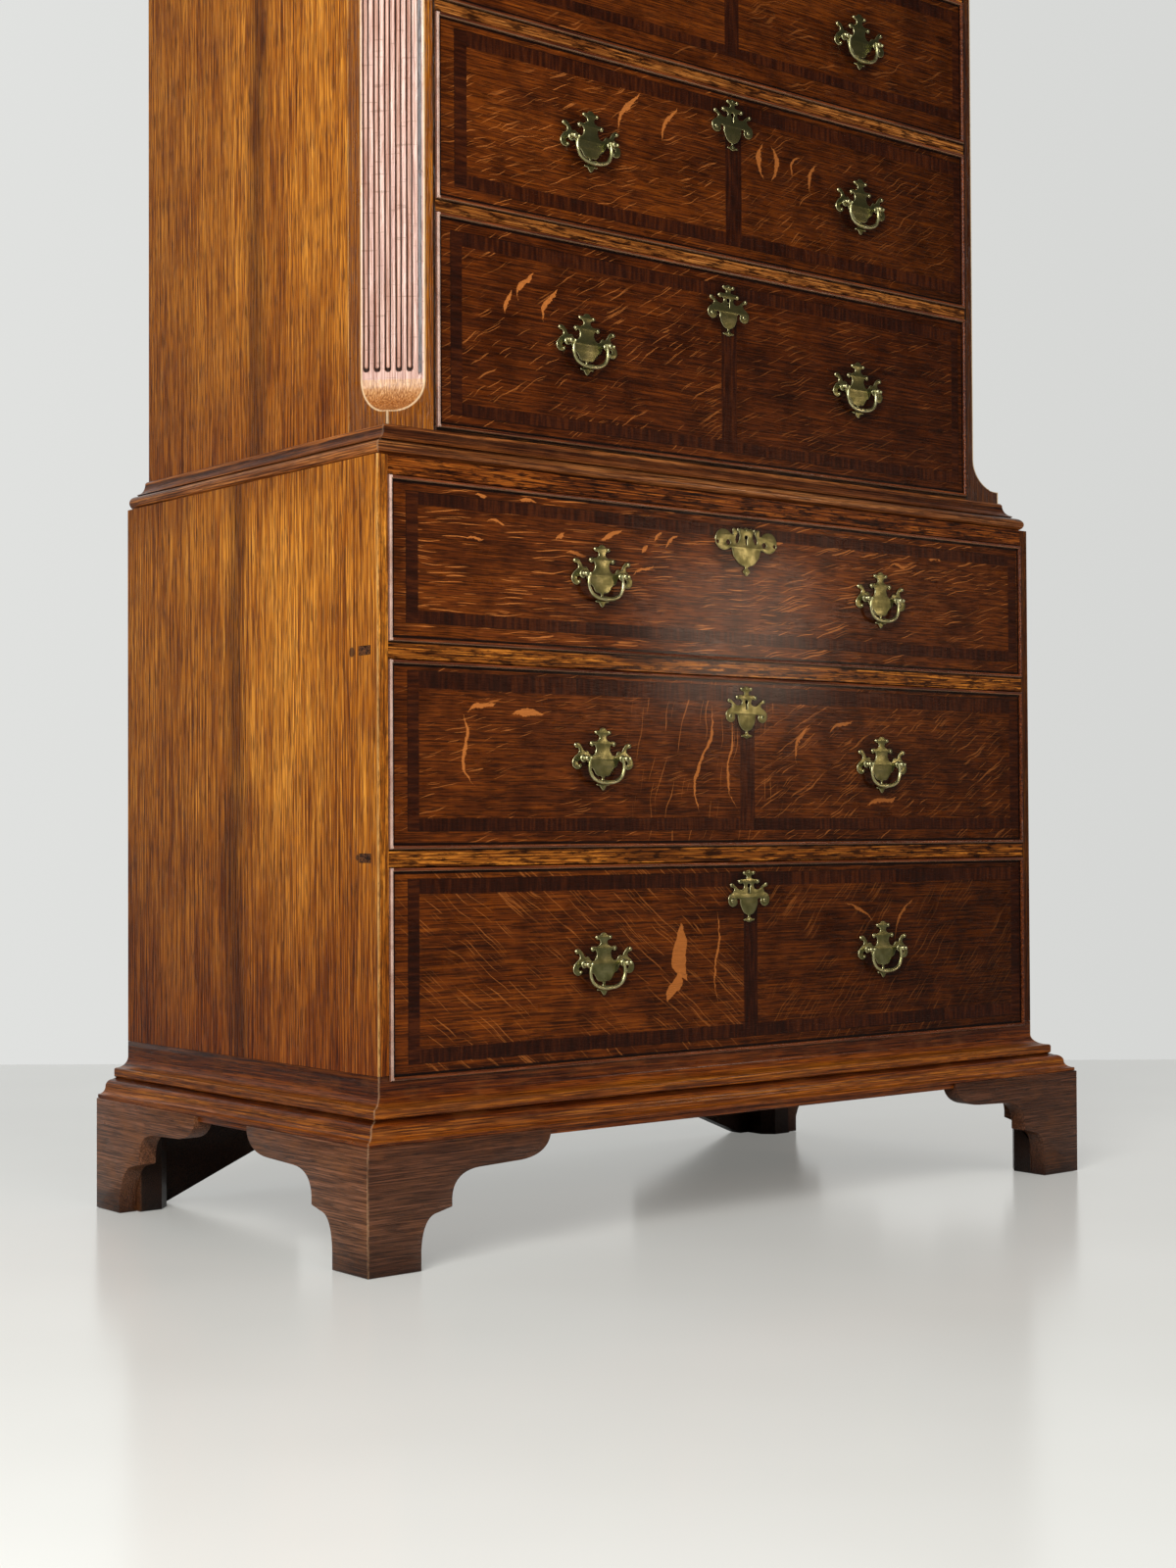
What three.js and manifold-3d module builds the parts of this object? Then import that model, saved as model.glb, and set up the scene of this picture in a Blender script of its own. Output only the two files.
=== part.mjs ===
// A Georgian oak chest on chest: a lower chest of three long drawers on bracket feet, and an upper
// chest of three long and two short drawers with fluted canted corners, which drops into the waist
// moulding of the lower one. Millimetres, +Z up, the front towards -Y, the floor at z = 0.
// Everything is set out from the plane of the backs at y = 0, and the last group moves the whole
// so that its origin is the middle of the floor that it covers.
import * as THREE from "three";
import { mergeVertices } from "three/addons/utils/BufferGeometryUtils.js";
import Module from "manifold-3d";

const wasm = await Module();
wasm.setup();

// Driving sizes of the two chests
const lowerWidth = 1000;
const lowerDepth = 523.4;
const lowerSideThickness = 12.7;
const lowerDrawerHeights = [213.8, 191.3, 167.8];
const lowerRailThickness = 17.2;
const lowerTopThickness = 19.1;
const upperSideInset = 27.9;
const upperFrontInset = 22.8;
const upperWidth = lowerWidth - 2 * upperSideInset;
const upperDepth = lowerDepth - upperFrontInset;
const upperSideThickness = 16;
const upperDrawerHeights = [224.4, 195.6, 179.6];
const shortDrawerHeight = 160;
const upperRailThickness = 12.6;
const upperTopThickness = 16;
const backThickness = 10;

// Where the brass stands on each drawer, from the lowest up: the handles and the keyhole stand a
// little right of the middle, and each keyhole some way below the top
const lowerHandleSpacing = 436;
const lowerHandleShifts = [10, 10, 10];
const lowerKeyShifts = [8, 6, 7];
const lowerKeyDrops = [27.3, 27.8, 26.2];
const upperHandleSpacing = 424;
const upperHandleShifts = [3, 9.5, 9.5];
const upperKeyShifts = [2.5, 10.5, 9.5];
const upperKeyDrops = [34, 27.2, 27.2];
const shortHandleShift = 6;
const shortKeyDrop = 27.2;

// Fits: the gap that glued and seated pieces keep, and the running gaps of a drawer
const seat = 0.3;
const drawerLift = 0.3;
const drawerHeadroom = 1.3;
const drawerSideGap = 0.8;
const overrun = 5;

// Base frame and its moulding
const footHeight = 127;
const frameHeight = 63;
const frameLip = 5.5;
const frameTop = footHeight + frameHeight;
const drawerFloor = frameTop - frameLip;
const frameThickness = 12.7;
const baseProjection = 41;
const bandRound = 2.5;
const bottomThickness = 16;
const stripHeight = 6.5;
const stripSetback = 4;

// Bracket feet
const bracketLength = 228;
const bracketThickness = 22;
const bracketSole = 64;
const sideBracketSole = 56;
const backBracketLength = 262;
const backBracketRun = 78;
const backBracketSlope = 0.41;
const blockSize = 42;
const glueLap = 1.2;

// Waist moulding, up from the top of the lower chest
const waistHeight = 35.3;
const noseHeight = 16.6;
const noseInset = 2;
const coveDepth = 11;
const coveLap = 0.2;
const waistLand = 6.1;
const coveHead = upperFrontInset + coveLap;
const coveFoot = coveHead - coveDepth;
const noseDepth = coveFoot - noseInset;
const waistInnerEdge = Math.max(upperSideInset, upperFrontInset) + waistLand;

// Cornice, out from the face of the upper chest
const corniceHeight = 72;
const corniceProjection = 62;
const corniceDrop = 9;
const corniceBacking = 18;

// Canted corner posts
const postWidth = 61.4;
const postDepth = 70;
const cantLeg = 47.1;
const fluteCount = 5;
const flutePitch = 11.4;
const fluteRadius = 3.5;
const cableRadius = 2.4;
const fluteBottomRise = 95;
const fluteTopDrop = 62;
const stopRise = 88;
const stopLength = 38.5;
const stopTopDrop = 26;
const fluteShift = 5.2;
const edgeGrooveWidth = 4.2;
const edgeGrooveDepth = 1.6;
const edgeGrooveInset = 2.6;

// Rails and dustboards
const railDepth = 56;
const dustboardThickness = 8;
const housingDepth = 4;
const tenonWidth = 21;
const tenonHeight = 9;
const tenonSetback = 13;
const blindTenonLength = 16;
const guideWidth = 20;
const guideHeight = 8;
const divisionWidth = 12.6;
const underFrameWidth = 45;
const upperBoardThickness = 18;
const upperPlinth = 38.5;

// Drawers
const frontThickness = 20;
const beadWidth = 3.6;
const beadProjection = 3;
const beadShoulder = 1.4;
const beadLap = 2;
const drawerSideThickness = 9;
const drawerBackThickness = 8;
const drawerBottomThickness = 7;
const drawerBottomRise = 9;
const drawerSideDrop = 9;
const drawerBackDrop = 22;
const drawerBackClearance = 9;
const lockWidth = 62;
const lockHeight = 44;
const lockDepth = 7;
const keyholeRadius = 3.1;
const keyholeSlot = 11;
const keyholeSlotWidth = 3;

// Handles
const plateWidth = 85;
const plateHeight = 68;
const plateThickness = 1.6;
const boltSpacing = 55;
const boltRadius = 2.3;
const boltHole = 2.9;
const headRadius = 3.3;
const headStand = 8.2;
const boltTail = 4.5;
const bailHalfWidth = 24.2;
const bailDrop = 26;
const bailRadius = 2;
const bailEndRadius = 1.5;
const pinRadius = 1.3;
const pinBore = 1.75;
const pinReach = 32.5;

// Facets
const curveSteps = 4;
const coveSteps = 6;
const boltSides = 6;
const bailSides = 6;
const bailSteps = 9;
const fluteSides = 8;
const cableSides = 8;
const keyholeSides = 6;

// Heights that follow from the driving sizes
const opening = (height) => drawerLift + height + drawerHeadroom;
const total = (numbers) => numbers.reduce((sum, n) => sum + n, 0);
const lowerOpenings = lowerDrawerHeights.map(opening);
const upperOpenings = [...upperDrawerHeights, shortDrawerHeight].map(opening);
const lowerRails = (lowerOpenings.length - 1) * lowerRailThickness;
const lowerCaseTop = drawerFloor + total(lowerOpenings) + lowerRails + lowerTopThickness;
const upperFoot = lowerCaseTop + seat;
const upperFloor = upperFoot + upperPlinth;
const upperRails = (upperOpenings.length - 1) * upperRailThickness;
const upperCaseTop = upperFloor + total(upperOpenings) + upperRails + upperTopThickness;

// Floor of each drawer opening, from the lowest up
function floorsOf(start, openings, rail) {
  return openings.map((_, i) => start + total(openings.slice(0, i)) + i * rail);
}
const lowerFloors = floorsOf(drawerFloor, lowerOpenings, lowerRailThickness);
const upperFloors = floorsOf(upperFloor, upperOpenings, upperRailThickness);
const shortFloor = upperFloors[upperFloors.length - 1];

// Finishes
function finish(color, roughness, metalness) {
  return new THREE.MeshStandardMaterial({ color, roughness, metalness });
}
const sideOak = finish(0x9a5a22, 0.45, 0);
const railOak = finish(0x6f3a1a, 0.42, 0);
const mouldingOak = finish(0x4a2414, 0.4, 0);
const frontOak = finish(0x4f2413, 0.38, 0);
const insideOak = finish(0xa87b4b, 0.75, 0);
const brass = finish(0x9a8a4e, 0.35, 1);

// Points nearer than this share of a seat are one point
const weldShare = 0.001;

// A geometry as a solid for joining and cutting
function solid(geometry) {
  const bare = geometry.index ? geometry.clone() : geometry;
  bare.deleteAttribute("normal");
  bare.deleteAttribute("uv");
  const merged = mergeVertices(bare, seat * weldShare);
  const mesh = new wasm.Mesh({
    numProp: 3,
    vertProperties: merged.attributes.position.array,
    triVerts: new Uint32Array(merged.index.array),
  });
  mesh.merge();
  return new wasm.Manifold(mesh);
}

function join(...solids) {
  return solids.reduce((sum, s) => sum.add(s));
}

function cut(body, ...cutters) {
  return cutters.reduce((rest, s) => rest.subtract(s), body);
}

// A box between two corners
function block(low, high) {
  const [x, y, z] = high.map((h, i) => h - low[i]);
  const box = new THREE.BoxGeometry(x, y, z);
  box.translate(low[0] + x / 2, low[1] + y / 2, low[2] + z / 2);
  return solid(box);
}

// The same solid on the other side of the middle plane
function mirrored(body) {
  return body.mirror([1, 0, 0]);
}

// Points of an elliptic arc, angles in quarter turns
function arc(centre, radii, from, to, steps) {
  return Array.from({ length: steps + 1 }, (_, i) => {
    const angle = ((from + ((to - from) * i) / steps) * Math.PI) / 2;
    return [centre[0] + radii[0] * Math.cos(angle), centre[1] + radii[1] * Math.sin(angle)];
  });
}

// A flat outline given thickness, its first coordinate along `across` and its second along `up`,
// standing at `start` along the third direction
function board(outline, thickness, across, up, start) {
  const shape = outline instanceof THREE.Shape ? outline : shapeOf(outline);
  const geometry = new THREE.ExtrudeGeometry(shape, {
    depth: thickness,
    bevelEnabled: false,
    curveSegments: curveSteps,
  });
  const out = new THREE.Vector3().crossVectors(across, up);
  const frame = new THREE.Matrix4().makeBasis(across, up, out);
  frame.setPosition(start);
  return solid(geometry.applyMatrix4(frame));
}

function shapeOf(points) {
  return new THREE.Shape(points.map(([a, b]) => new THREE.Vector2(a, b)));
}

const alongX = new THREE.Vector3(1, 0, 0);
const alongY = new THREE.Vector3(0, 1, 0);
const alongZ = new THREE.Vector3(0, 0, 1);
const point = (x, y, z) => new THREE.Vector3(x, y, z);

// A profile carried through a row of places, each of which puts a point of the profile in space.
// The row is closed on itself, or has a flat face at each end.
function carried(profile, places, closed) {
  const count = profile.length;
  const spans = closed ? places.length : places.length - 1;
  const index = [];
  for (let s = 0; s < spans; s++) {
    const near = s * count;
    const far = ((s + 1) % places.length) * count;
    for (let i = 0; i < count; i++) {
      const next = (i + 1) % count;
      index.push(near + i, far + i, near + next, near + next, far + i, far + next);
    }
  }
  if (!closed) {
    const outline = profile.map(([a, b]) => new THREE.Vector2(a, b));
    const last = spans * count;
    for (const [a, b, c] of THREE.ShapeUtils.triangulateShape(outline, [])) {
      index.push(a, b, c, last + a, last + c, last + b);
    }
  }
  const positions = places.flatMap((place) => profile.flatMap((p) => place(p[0], p[1])));
  const geometry = new THREE.BufferGeometry();
  geometry.setAttribute("position", new THREE.Float32BufferAttribute(positions, 3));
  geometry.setIndex(index);
  return facingOut(geometry);
}

// A moulding that runs along the left side, the front and the right side with mitred corners. Its
// profile gives the reach out from the case and the height; the case is halfWidth each side of the
// middle and depth from back to front.
function mitredRun(profile, halfWidth, depth) {
  const places = [
    (out, up) => [-(halfWidth + out), 0, up],
    (out, up) => [-(halfWidth + out), -(depth + out), up],
    (out, up) => [halfWidth + out, -(depth + out), up],
    (out, up) => [halfWidth + out, 0, up],
  ];
  return carried(profile, places, false);
}

// A round bead along the four edges of a drawer front, mitred at the corners. Its profile gives the
// distance in from the edge and out from the face.
function cockbead(x, half, low, high, face) {
  const rise = beadProjection - beadShoulder;
  const profile = [
    [0, -beadLap],
    ...arc([beadWidth / 2, beadShoulder], [beadWidth / 2, rise], 2, 0, curveSteps),
    [beadWidth, -beadLap],
  ];
  const places = [
    (inset, out) => [x - half + inset, face - out, low + inset],
    (inset, out) => [x + half - inset, face - out, low + inset],
    (inset, out) => [x + half - inset, face - out, high - inset],
    (inset, out) => [x - half + inset, face - out, high - inset],
  ];
  return carried(profile, places, true);
}

// A closed surface as a solid, turned right side out where its faces point inwards
function facingOut(geometry) {
  const made = solid(geometry);
  if (made.volume() > 0) return made;
  const index = Array.from(geometry.index.array);
  for (let i = 0; i < index.length; i += 3) [index[i], index[i + 1]] = [index[i + 1], index[i]];
  geometry.setIndex(index);
  return solid(geometry);
}

// Base frame: a flat mitred frame under the sides, a cavetto, a bold band and an ogee at the foot,
// and a narrow strip under the moulding between the brackets
const baseReachShares = { cave: 0.38, band: 0.44, ogee: 0.51, ogeeMid: 0.72, lip: 0.95 };
const baseRiseShares = { cave: 0.722, band: 0.524, bandFoot: 0.349, ogee: 0.317, ogeeMid: 0.19, lip: 0.063 };
function baseProfile() {
  const out = (share) => share * baseProjection;
  const up = (share) => footHeight + share * (frameTop - footHeight);
  const { cave, band, ogee, ogeeMid, lip } = baseReachShares;
  const caveOut = out(cave);
  const bandOut = out(band);
  const ogeeOut = out(ogee);
  const ogeeMidOut = out(ogeeMid);
  const lipOut = out(lip);
  const caveTop = up(baseRiseShares.cave);
  const bandTop = up(baseRiseShares.band);
  const bandFoot = up(baseRiseShares.bandFoot);
  const ogeeTop = up(baseRiseShares.ogee);
  const ogeeMiddle = up(baseRiseShares.ogeeMid);
  const ogeeFoot = up(baseRiseShares.lip);
  const caveDrop = caveTop - bandTop;
  return [
    [-frameThickness, footHeight],
    [lipOut, footHeight],
    [lipOut, ogeeFoot],
    ...arc([lipOut, ogeeMiddle], [lipOut - ogeeMidOut, ogeeMiddle - ogeeFoot], -1, -2, curveSteps),
    ...arc([ogeeOut, ogeeMiddle], [ogeeMidOut - ogeeOut, ogeeTop - ogeeMiddle], 0, 1, curveSteps).slice(1),
    [caveOut, bandFoot],
    [bandOut, bandFoot + bandRound],
    [bandOut, bandTop - bandRound],
    [caveOut, bandTop],
    ...arc([caveOut, caveTop], [caveOut, caveDrop], -1, -2, curveSteps).slice(1),
    [0, frameTop],
    [-frameThickness, frameTop],
  ];
}

function baseMoulding() {
  const halfWidth = lowerWidth / 2;
  const run = mitredRun(baseProfile(), halfWidth, lowerDepth);
  const drawerHalf = halfWidth - lowerSideThickness;
  const drawerCut = block(
    [-drawerHalf, -lowerDepth - overrun, drawerFloor],
    [drawerHalf, 0, frameTop + overrun],
  );
  const faceHalf = halfWidth + baseProjection;
  const faceDepth = lowerDepth + baseProjection;
  const low = footHeight - stripHeight;
  const stripOut = baseProjection - stripSetback;
  const inner = stripOut - bracketThickness;
  const frontHalf = faceHalf - bracketLength - seat;
  const frontStrip = block(
    [-frontHalf, -(lowerDepth + stripOut), low],
    [frontHalf, -(lowerDepth + inner), footHeight + stripHeight],
  );
  const sideStrip = block(
    [-(halfWidth + stripOut), -(faceDepth - bracketLength - seat), low],
    [-(halfWidth + inner), -(bracketLength + seat), footHeight + stripHeight],
  );
  const strips = join(frontStrip, sideStrip, mirrored(sideStrip));
  return join(cut(run, drawerCut), strips);
}

// The shaped outline of a bracket, out from the corner of the foot and up from the floor: a square
// sole, a small cusp, and a long shelf that turns up to the frame
const bracketCuspShares = { x: 0.447, z: 0.472 };
const bracketToeShares = { x: 0.368, z: 0.437 };
const bracketHeelShare = 0.16;
const bracketNeckShares = { x: 0.29, z: 0.42 };
const bracketStepShare = 0.54;
const bracketShelfShares = [
  { x: 0.455, z: 0.745 },
  { x: 0.6, z: 0.757 },
];
const bracketShelfEndShares = { x: 0.83, z: 0.772 };
const bracketTurnShares = { x: 0.975, z: 0.79 };
function bracketOutline(sole) {
  const x = (share) => share * bracketLength;
  const z = (share) => share * footHeight;
  const [turnIn, shelf] = bracketShelfShares;
  const shape = new THREE.Shape();
  shape.moveTo(0, 0);
  shape.lineTo(sole, 0);
  shape.lineTo(sole, z(bracketHeelShare));
  shape.quadraticCurveTo(
    x(bracketNeckShares.x),
    z(bracketNeckShares.z),
    x(bracketToeShares.x),
    z(bracketToeShares.z),
  );
  shape.lineTo(x(bracketCuspShares.x), z(bracketCuspShares.z));
  shape.lineTo(x(bracketCuspShares.x), z(bracketStepShare));
  shape.quadraticCurveTo(x(turnIn.x), z(turnIn.z), x(shelf.x), z(shelf.z));
  shape.lineTo(x(bracketShelfEndShares.x), z(bracketShelfEndShares.z));
  shape.quadraticCurveTo(x(bracketTurnShares.x), z(bracketTurnShares.z), x(1), footHeight - stripHeight);
  shape.lineTo(x(1), footHeight - seat);
  shape.lineTo(0, footHeight - seat);
  return shape;
}

// Left front foot: two shaped brackets that meet at the corner, and a glue block behind them
function frontFoot() {
  const left = -(lowerWidth / 2 + baseProjection);
  const front = -(lowerDepth + baseProjection);
  const top = footHeight - seat;
  const frontBracket = board(
    bracketOutline(bracketSole),
    bracketThickness,
    alongX,
    alongZ,
    point(left, front + bracketThickness, 0),
  );
  const sideBracket = board(
    bracketOutline(bracketSole),
    bracketThickness,
    alongY,
    alongZ,
    point(left, front, 0),
  );
  const inset = bracketThickness - glueLap;
  const glueBlock = block(
    [left + inset, front + inset, 0],
    [left + bracketThickness + blockSize, front + bracketThickness + blockSize, top],
  );
  const corner = block([left, front, 0], [left + bracketThickness, front + bracketThickness, top]);
  return join(frontBracket, sideBracket, corner, glueBlock);
}

// Left rear foot: a shaped side bracket, a plain back bracket with a sloped lower edge, and a block
function rearFoot() {
  const left = -(lowerWidth / 2 + baseProjection);
  const top = footHeight - seat;
  const sideBracket = board(
    bracketOutline(sideBracketSole),
    bracketThickness,
    alongY.clone().negate(),
    alongZ,
    point(left + bracketThickness, 0, 0),
  );
  const rise = (backBracketLength - backBracketRun) * backBracketSlope;
  const backOutline = [
    [0, 0],
    [backBracketRun, 0],
    [backBracketLength, rise],
    [backBracketLength, top],
    [0, top],
  ];
  const backBracket = board(
    backOutline,
    bracketThickness,
    alongX,
    alongZ,
    point(left, 0, 0),
  );
  const inset = bracketThickness - glueLap;
  const glueBlock = block(
    [left + inset, -(bracketThickness + blockSize), 0],
    [left + bracketThickness + blockSize, -inset, top],
  );
  return join(sideBracket, backBracket, glueBlock);
}

// Waist moulding: a bold nose at the foot and a cove above it, cut out for the upper chest
function waistProfile() {
  const top = lowerCaseTop + waistHeight;
  const noseTop = lowerCaseTop + noseHeight;
  const noseFoot = lowerCaseTop + seat;
  const noseMiddle = (noseTop + noseFoot) / 2;
  const noseHalf = (noseTop - noseFoot) / 2;
  const lip = noseInset;
  const coveDrop = top - noseTop - 2 * lip;
  return [
    [-waistInnerEdge, noseFoot],
    ...arc([-(lip + noseDepth), noseMiddle], [noseDepth, noseHalf], -1, 1, coveSteps + 2),
    [-(coveFoot + lip), noseTop + lip / 2],
    [-coveFoot, noseTop + lip],
    ...arc([-coveFoot, top - lip], [coveHead - coveFoot, coveDrop - lip / 2], -1, -2, curveSteps).slice(1),
    [-(coveHead + lip), top],
    [-waistInnerEdge, top],
  ];
}

function waistMoulding() {
  const run = mitredRun(waistProfile(), lowerWidth / 2, lowerDepth);
  const half = upperWidth / 2 + seat;
  const upperCase = block(
    [-half, -(upperDepth + seat), lowerCaseTop - overrun],
    [half, overrun, upperCaseTop],
  );
  return cut(run, upperCase);
}

// Cornice: an astragal on the face of the case, a deep cove, and an ovolo under a square fillet
const corniceShares = { cove: [0.15, 0.72], fillet: 0.77, ovolo: 0.94, coveTop: 0.64, ovoloTop: 0.86, back: 0.33 };
function corniceProfile() {
  const out = (share) => share * corniceProjection;
  const up = (share) => upperCaseTop + share * corniceHeight;
  const beadRadius = corniceDrop / 2;
  const [coveIn, coveOut] = corniceShares.cove.map(out);
  const fillet = out(corniceShares.fillet);
  const ovolo = out(corniceShares.ovolo);
  const coveTop = up(corniceShares.coveTop);
  const filletTop = coveTop + beadRadius;
  const ovoloTop = up(corniceShares.ovoloTop);
  const top = up(1);
  const coveFootHeight = upperCaseTop + beadRadius;
  return [
    [-corniceBacking, upperCaseTop + seat],
    [seat, upperCaseTop + seat],
    [seat, upperCaseTop - corniceDrop],
    ...arc([beadRadius, upperCaseTop - beadRadius], [beadRadius, beadRadius], -1, 1, curveSteps),
    [coveIn, upperCaseTop],
    ...arc([coveOut, coveFootHeight], [coveOut - coveIn, coveTop - coveFootHeight], 2, 1, coveSteps),
    [fillet, coveTop],
    [fillet, filletTop],
    ...arc([fillet, ovoloTop], [ovolo - fillet, ovoloTop - filletTop], -1, 0, curveSteps).slice(1),
    [corniceProjection, ovoloTop],
    [corniceProjection, top],
    [corniceProjection / 2, top],
    [-corniceBacking, up(corniceShares.back)],
  ];
}

function cornice() {
  return mitredRun(corniceProfile(), upperWidth / 2, upperDepth);
}

// The solid that a rail fills in a side board or post: its tenon, and the housing of the dustboard
function tenon(halfOpening, reach, floor, thickness, front, clearance) {
  const middle = floor - thickness / 2;
  const half = tenonHeight / 2 + clearance;
  return block(
    [halfOpening, front + tenonSetback - clearance, middle - half],
    [halfOpening + reach, front + tenonSetback + tenonWidth + clearance, middle + half],
  );
}

// Lower side board, with a housing for each dustboard and a through mortise for each rail
function lowerSide() {
  const outer = lowerWidth / 2;
  const inner = outer - lowerSideThickness;
  const plank = block([inner, -lowerDepth, frameTop + seat], [outer, 0, lowerCaseTop]);
  const cutters = lowerFloors.slice(1).flatMap((floor) => [
    tenon(inner - overrun, lowerSideThickness + 2 * overrun, floor, lowerRailThickness, -lowerDepth, seat),
    housing(inner, floor, -lowerDepth + railDepth),
  ]);
  return cut(plank, ...cutters);
}

// Groove along the inner face of a side, into which the edge of a dustboard slides
function housing(inner, floor, front) {
  return block(
    [inner - overrun, front, floor - dustboardThickness - seat],
    [inner + housingDepth, overrun, floor + seat],
  );
}

// Rail and dustboard of the lower chest, with tenons that show on the outside of the sides
function lowerRail(floor) {
  const inner = lowerWidth / 2 - lowerSideThickness;
  const front = -lowerDepth;
  const rail = block(
    [-(inner - seat), front, floor - lowerRailThickness],
    [inner - seat, front + railDepth, floor],
  );
  const end = tenon(
    inner - overrun,
    lowerSideThickness + overrun,
    floor,
    lowerRailThickness,
    front,
    0,
  );
  const edge = inner + housingDepth - seat;
  const dustboard = block(
    [-edge, front + railDepth + seat, floor - dustboardThickness],
    [edge, -(backThickness + seat), floor],
  );
  const tongue = block(
    [-(inner - seat), front + railDepth - overrun, floor - dustboardThickness],
    [inner - seat, front + railDepth + overrun, floor],
  );
  return join(rail, end, mirrored(end), dustboard, tongue);
}

function lowerTopBoard() {
  const half = lowerWidth / 2 - lowerSideThickness - seat;
  return block(
    [-half, -lowerDepth, lowerCaseTop - lowerTopThickness],
    [half, -(backThickness + seat), lowerCaseTop],
  );
}

function lowerBottomBoard() {
  const half = lowerWidth / 2 - frameThickness - seat;
  return block(
    [-half, -(lowerDepth - frameThickness - seat), drawerFloor - bottomThickness],
    [half, -(backThickness + seat), drawerFloor],
  );
}

function lowerBack() {
  const half = lowerWidth / 2 - lowerSideThickness - seat;
  return block([-half, -backThickness, footHeight + seat], [half, 0, lowerCaseTop]);
}

// Upper side board, behind the corner post, housed for the dustboards
function upperSide() {
  const outer = upperWidth / 2;
  const inner = outer - upperSideThickness;
  const plank = block([inner, -(upperDepth - postDepth - seat), upperFoot], [outer, 0, upperCaseTop]);
  const cutters = upperFloors.slice(1).map((floor) => housing(inner, floor, -upperDepth));
  return cut(plank, ...cutters);
}

// Corner post of the upper chest: a square post whose corner is cut to a cant between two stops,
// with cabled flutes sunk in the cant and a groove along its front edge
function cornerPost() {
  const outer = upperWidth / 2;
  const inner = outer - postWidth;
  const post = block([inner, -upperDepth, upperFoot], [outer, -(upperDepth - postDepth), upperCaseTop]);
  const mortises = upperFloors
    .slice(1)
    .map((floor) =>
      tenon(
        inner - overrun,
        blindTenonLength + overrun + seat,
        floor,
        upperRailThickness,
        -upperDepth,
        seat,
      ),
    );
  return cut(post, cantCutter(), ...flutes(), edgeGroove(), ...mortises);
}

// The frame of the right cant: along its face, out from it, and its middle line
const cantAlong = new THREE.Vector3(1, 1, 0).normalize();
const cantOut = new THREE.Vector3(1, -1, 0).normalize();
const cantFace = cantLeg * Math.SQRT2;
const cantCorner = cantLeg / Math.SQRT2;
const cantMiddle = point(upperWidth / 2 - cantLeg / 2, -(upperDepth - cantLeg / 2), 0);
const cantPoint = (along, out, z) =>
  cantMiddle.clone().addScaledVector(cantAlong, along).addScaledVector(cantOut, out).setZ(z);
const stopFoot = upperFoot + stopRise - stopLength;
const stopTop = upperFoot + stopRise;
const cantTop = upperCaseTop - stopTopDrop;

// Everything outside the cant: its profile stands at the face and runs out to the square corner in
// a scoop at each end
function cantCutter() {
  const reach = cantCorner + overrun;
  const outline = [
    [reach, stopFoot],
    ...arc([cantCorner, stopTop], [cantCorner, stopTop - stopFoot], -1, -2, coveSteps),
    ...arc([cantCorner, cantTop - stopLength], [cantCorner, stopLength], 2, 1, coveSteps),
    [reach, cantTop],
  ];
  return board(
    outline,
    cantFace + 2 * overrun,
    cantOut,
    alongZ,
    cantPoint(cantFace / 2 + overrun, 0, 0),
  );
}

// An upright rod with round ends, of the given radius, between two heights
function rod(radius, low, high, sides, place, endSteps) {
  const profile = [
    ...arc([0, low + radius], [radius, radius], -1, 0, endSteps),
    ...arc([0, high - radius], [radius, radius], 0, 1, endSteps),
  ].map(([r, z]) => new THREE.Vector2(Math.max(r, 0), z));
  profile[0].x = 0;
  profile[profile.length - 1].x = 0;
  const lathe = new THREE.LatheGeometry(profile, sides);
  lathe.rotateX(Math.PI / 2);
  lathe.rotateZ(Math.PI / 4);
  lathe.translate(place.x, place.y, 0);
  return facingOut(indexed(lathe));
}

// The geometry with its vertices shared, so that its faces can be turned
function indexed(geometry) {
  geometry.deleteAttribute("normal");
  geometry.deleteAttribute("uv");
  return mergeVertices(geometry, seat * weldShare);
}

// The flutes of the cant, each with a round cable left standing in it
function flutes() {
  const low = upperFoot + fluteBottomRise;
  const high = upperCaseTop - fluteTopDrop;
  return Array.from({ length: fluteCount }, (_, i) => {
    const along = (i - (fluteCount - 1) / 2) * flutePitch + fluteShift;
    const place = cantPoint(along, 0, 0);
    const sunk = cantPoint(along, -cableRadius, 0);
    const hollow = rod(fluteRadius, low, high, fluteSides, place, 2);
    const cable = rod(cableRadius, low + fluteRadius, high - fluteRadius, cableSides, sunk, 1);
    return cut(hollow, cable);
  });
}

// A narrow groove beside the flutes, along the front edge of the cant
function edgeGroove() {
  const near = -cantFace / 2 + edgeGrooveInset;
  const outline = [
    [near, -edgeGrooveDepth],
    [near + edgeGrooveWidth, -edgeGrooveDepth],
    [near + edgeGrooveWidth, overrun],
    [near, overrun],
  ];
  const height = cantTop - stopLength - stopTop;
  return board(outline, height, cantAlong, cantOut, cantPoint(0, 0, stopTop + height));
}

// Rail and dustboard of the upper chest, with a guide beside the run of each drawer side
function upperRail(floor) {
  const half = upperWidth / 2 - postWidth;
  const front = -upperDepth;
  const rail = block(
    [-(half - seat), front, floor - upperRailThickness],
    [half - seat, front + postDepth + seat, floor],
  );
  const end = tenon(half - overrun, blindTenonLength + overrun, floor, upperRailThickness, front, 0);
  const edge = upperWidth / 2 - upperSideThickness + housingDepth - seat;
  const dustboard = block(
    [-edge, front + postDepth + seat, floor - dustboardThickness],
    [edge, -(backThickness + seat), floor],
  );
  const tongue = block(
    [-(half - seat), front + postDepth - overrun, floor - dustboardThickness],
    [half - seat, front + postDepth + overrun, floor],
  );
  return join(rail, end, mirrored(end), dustboard, tongue, ...guides(floor));
}

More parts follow.
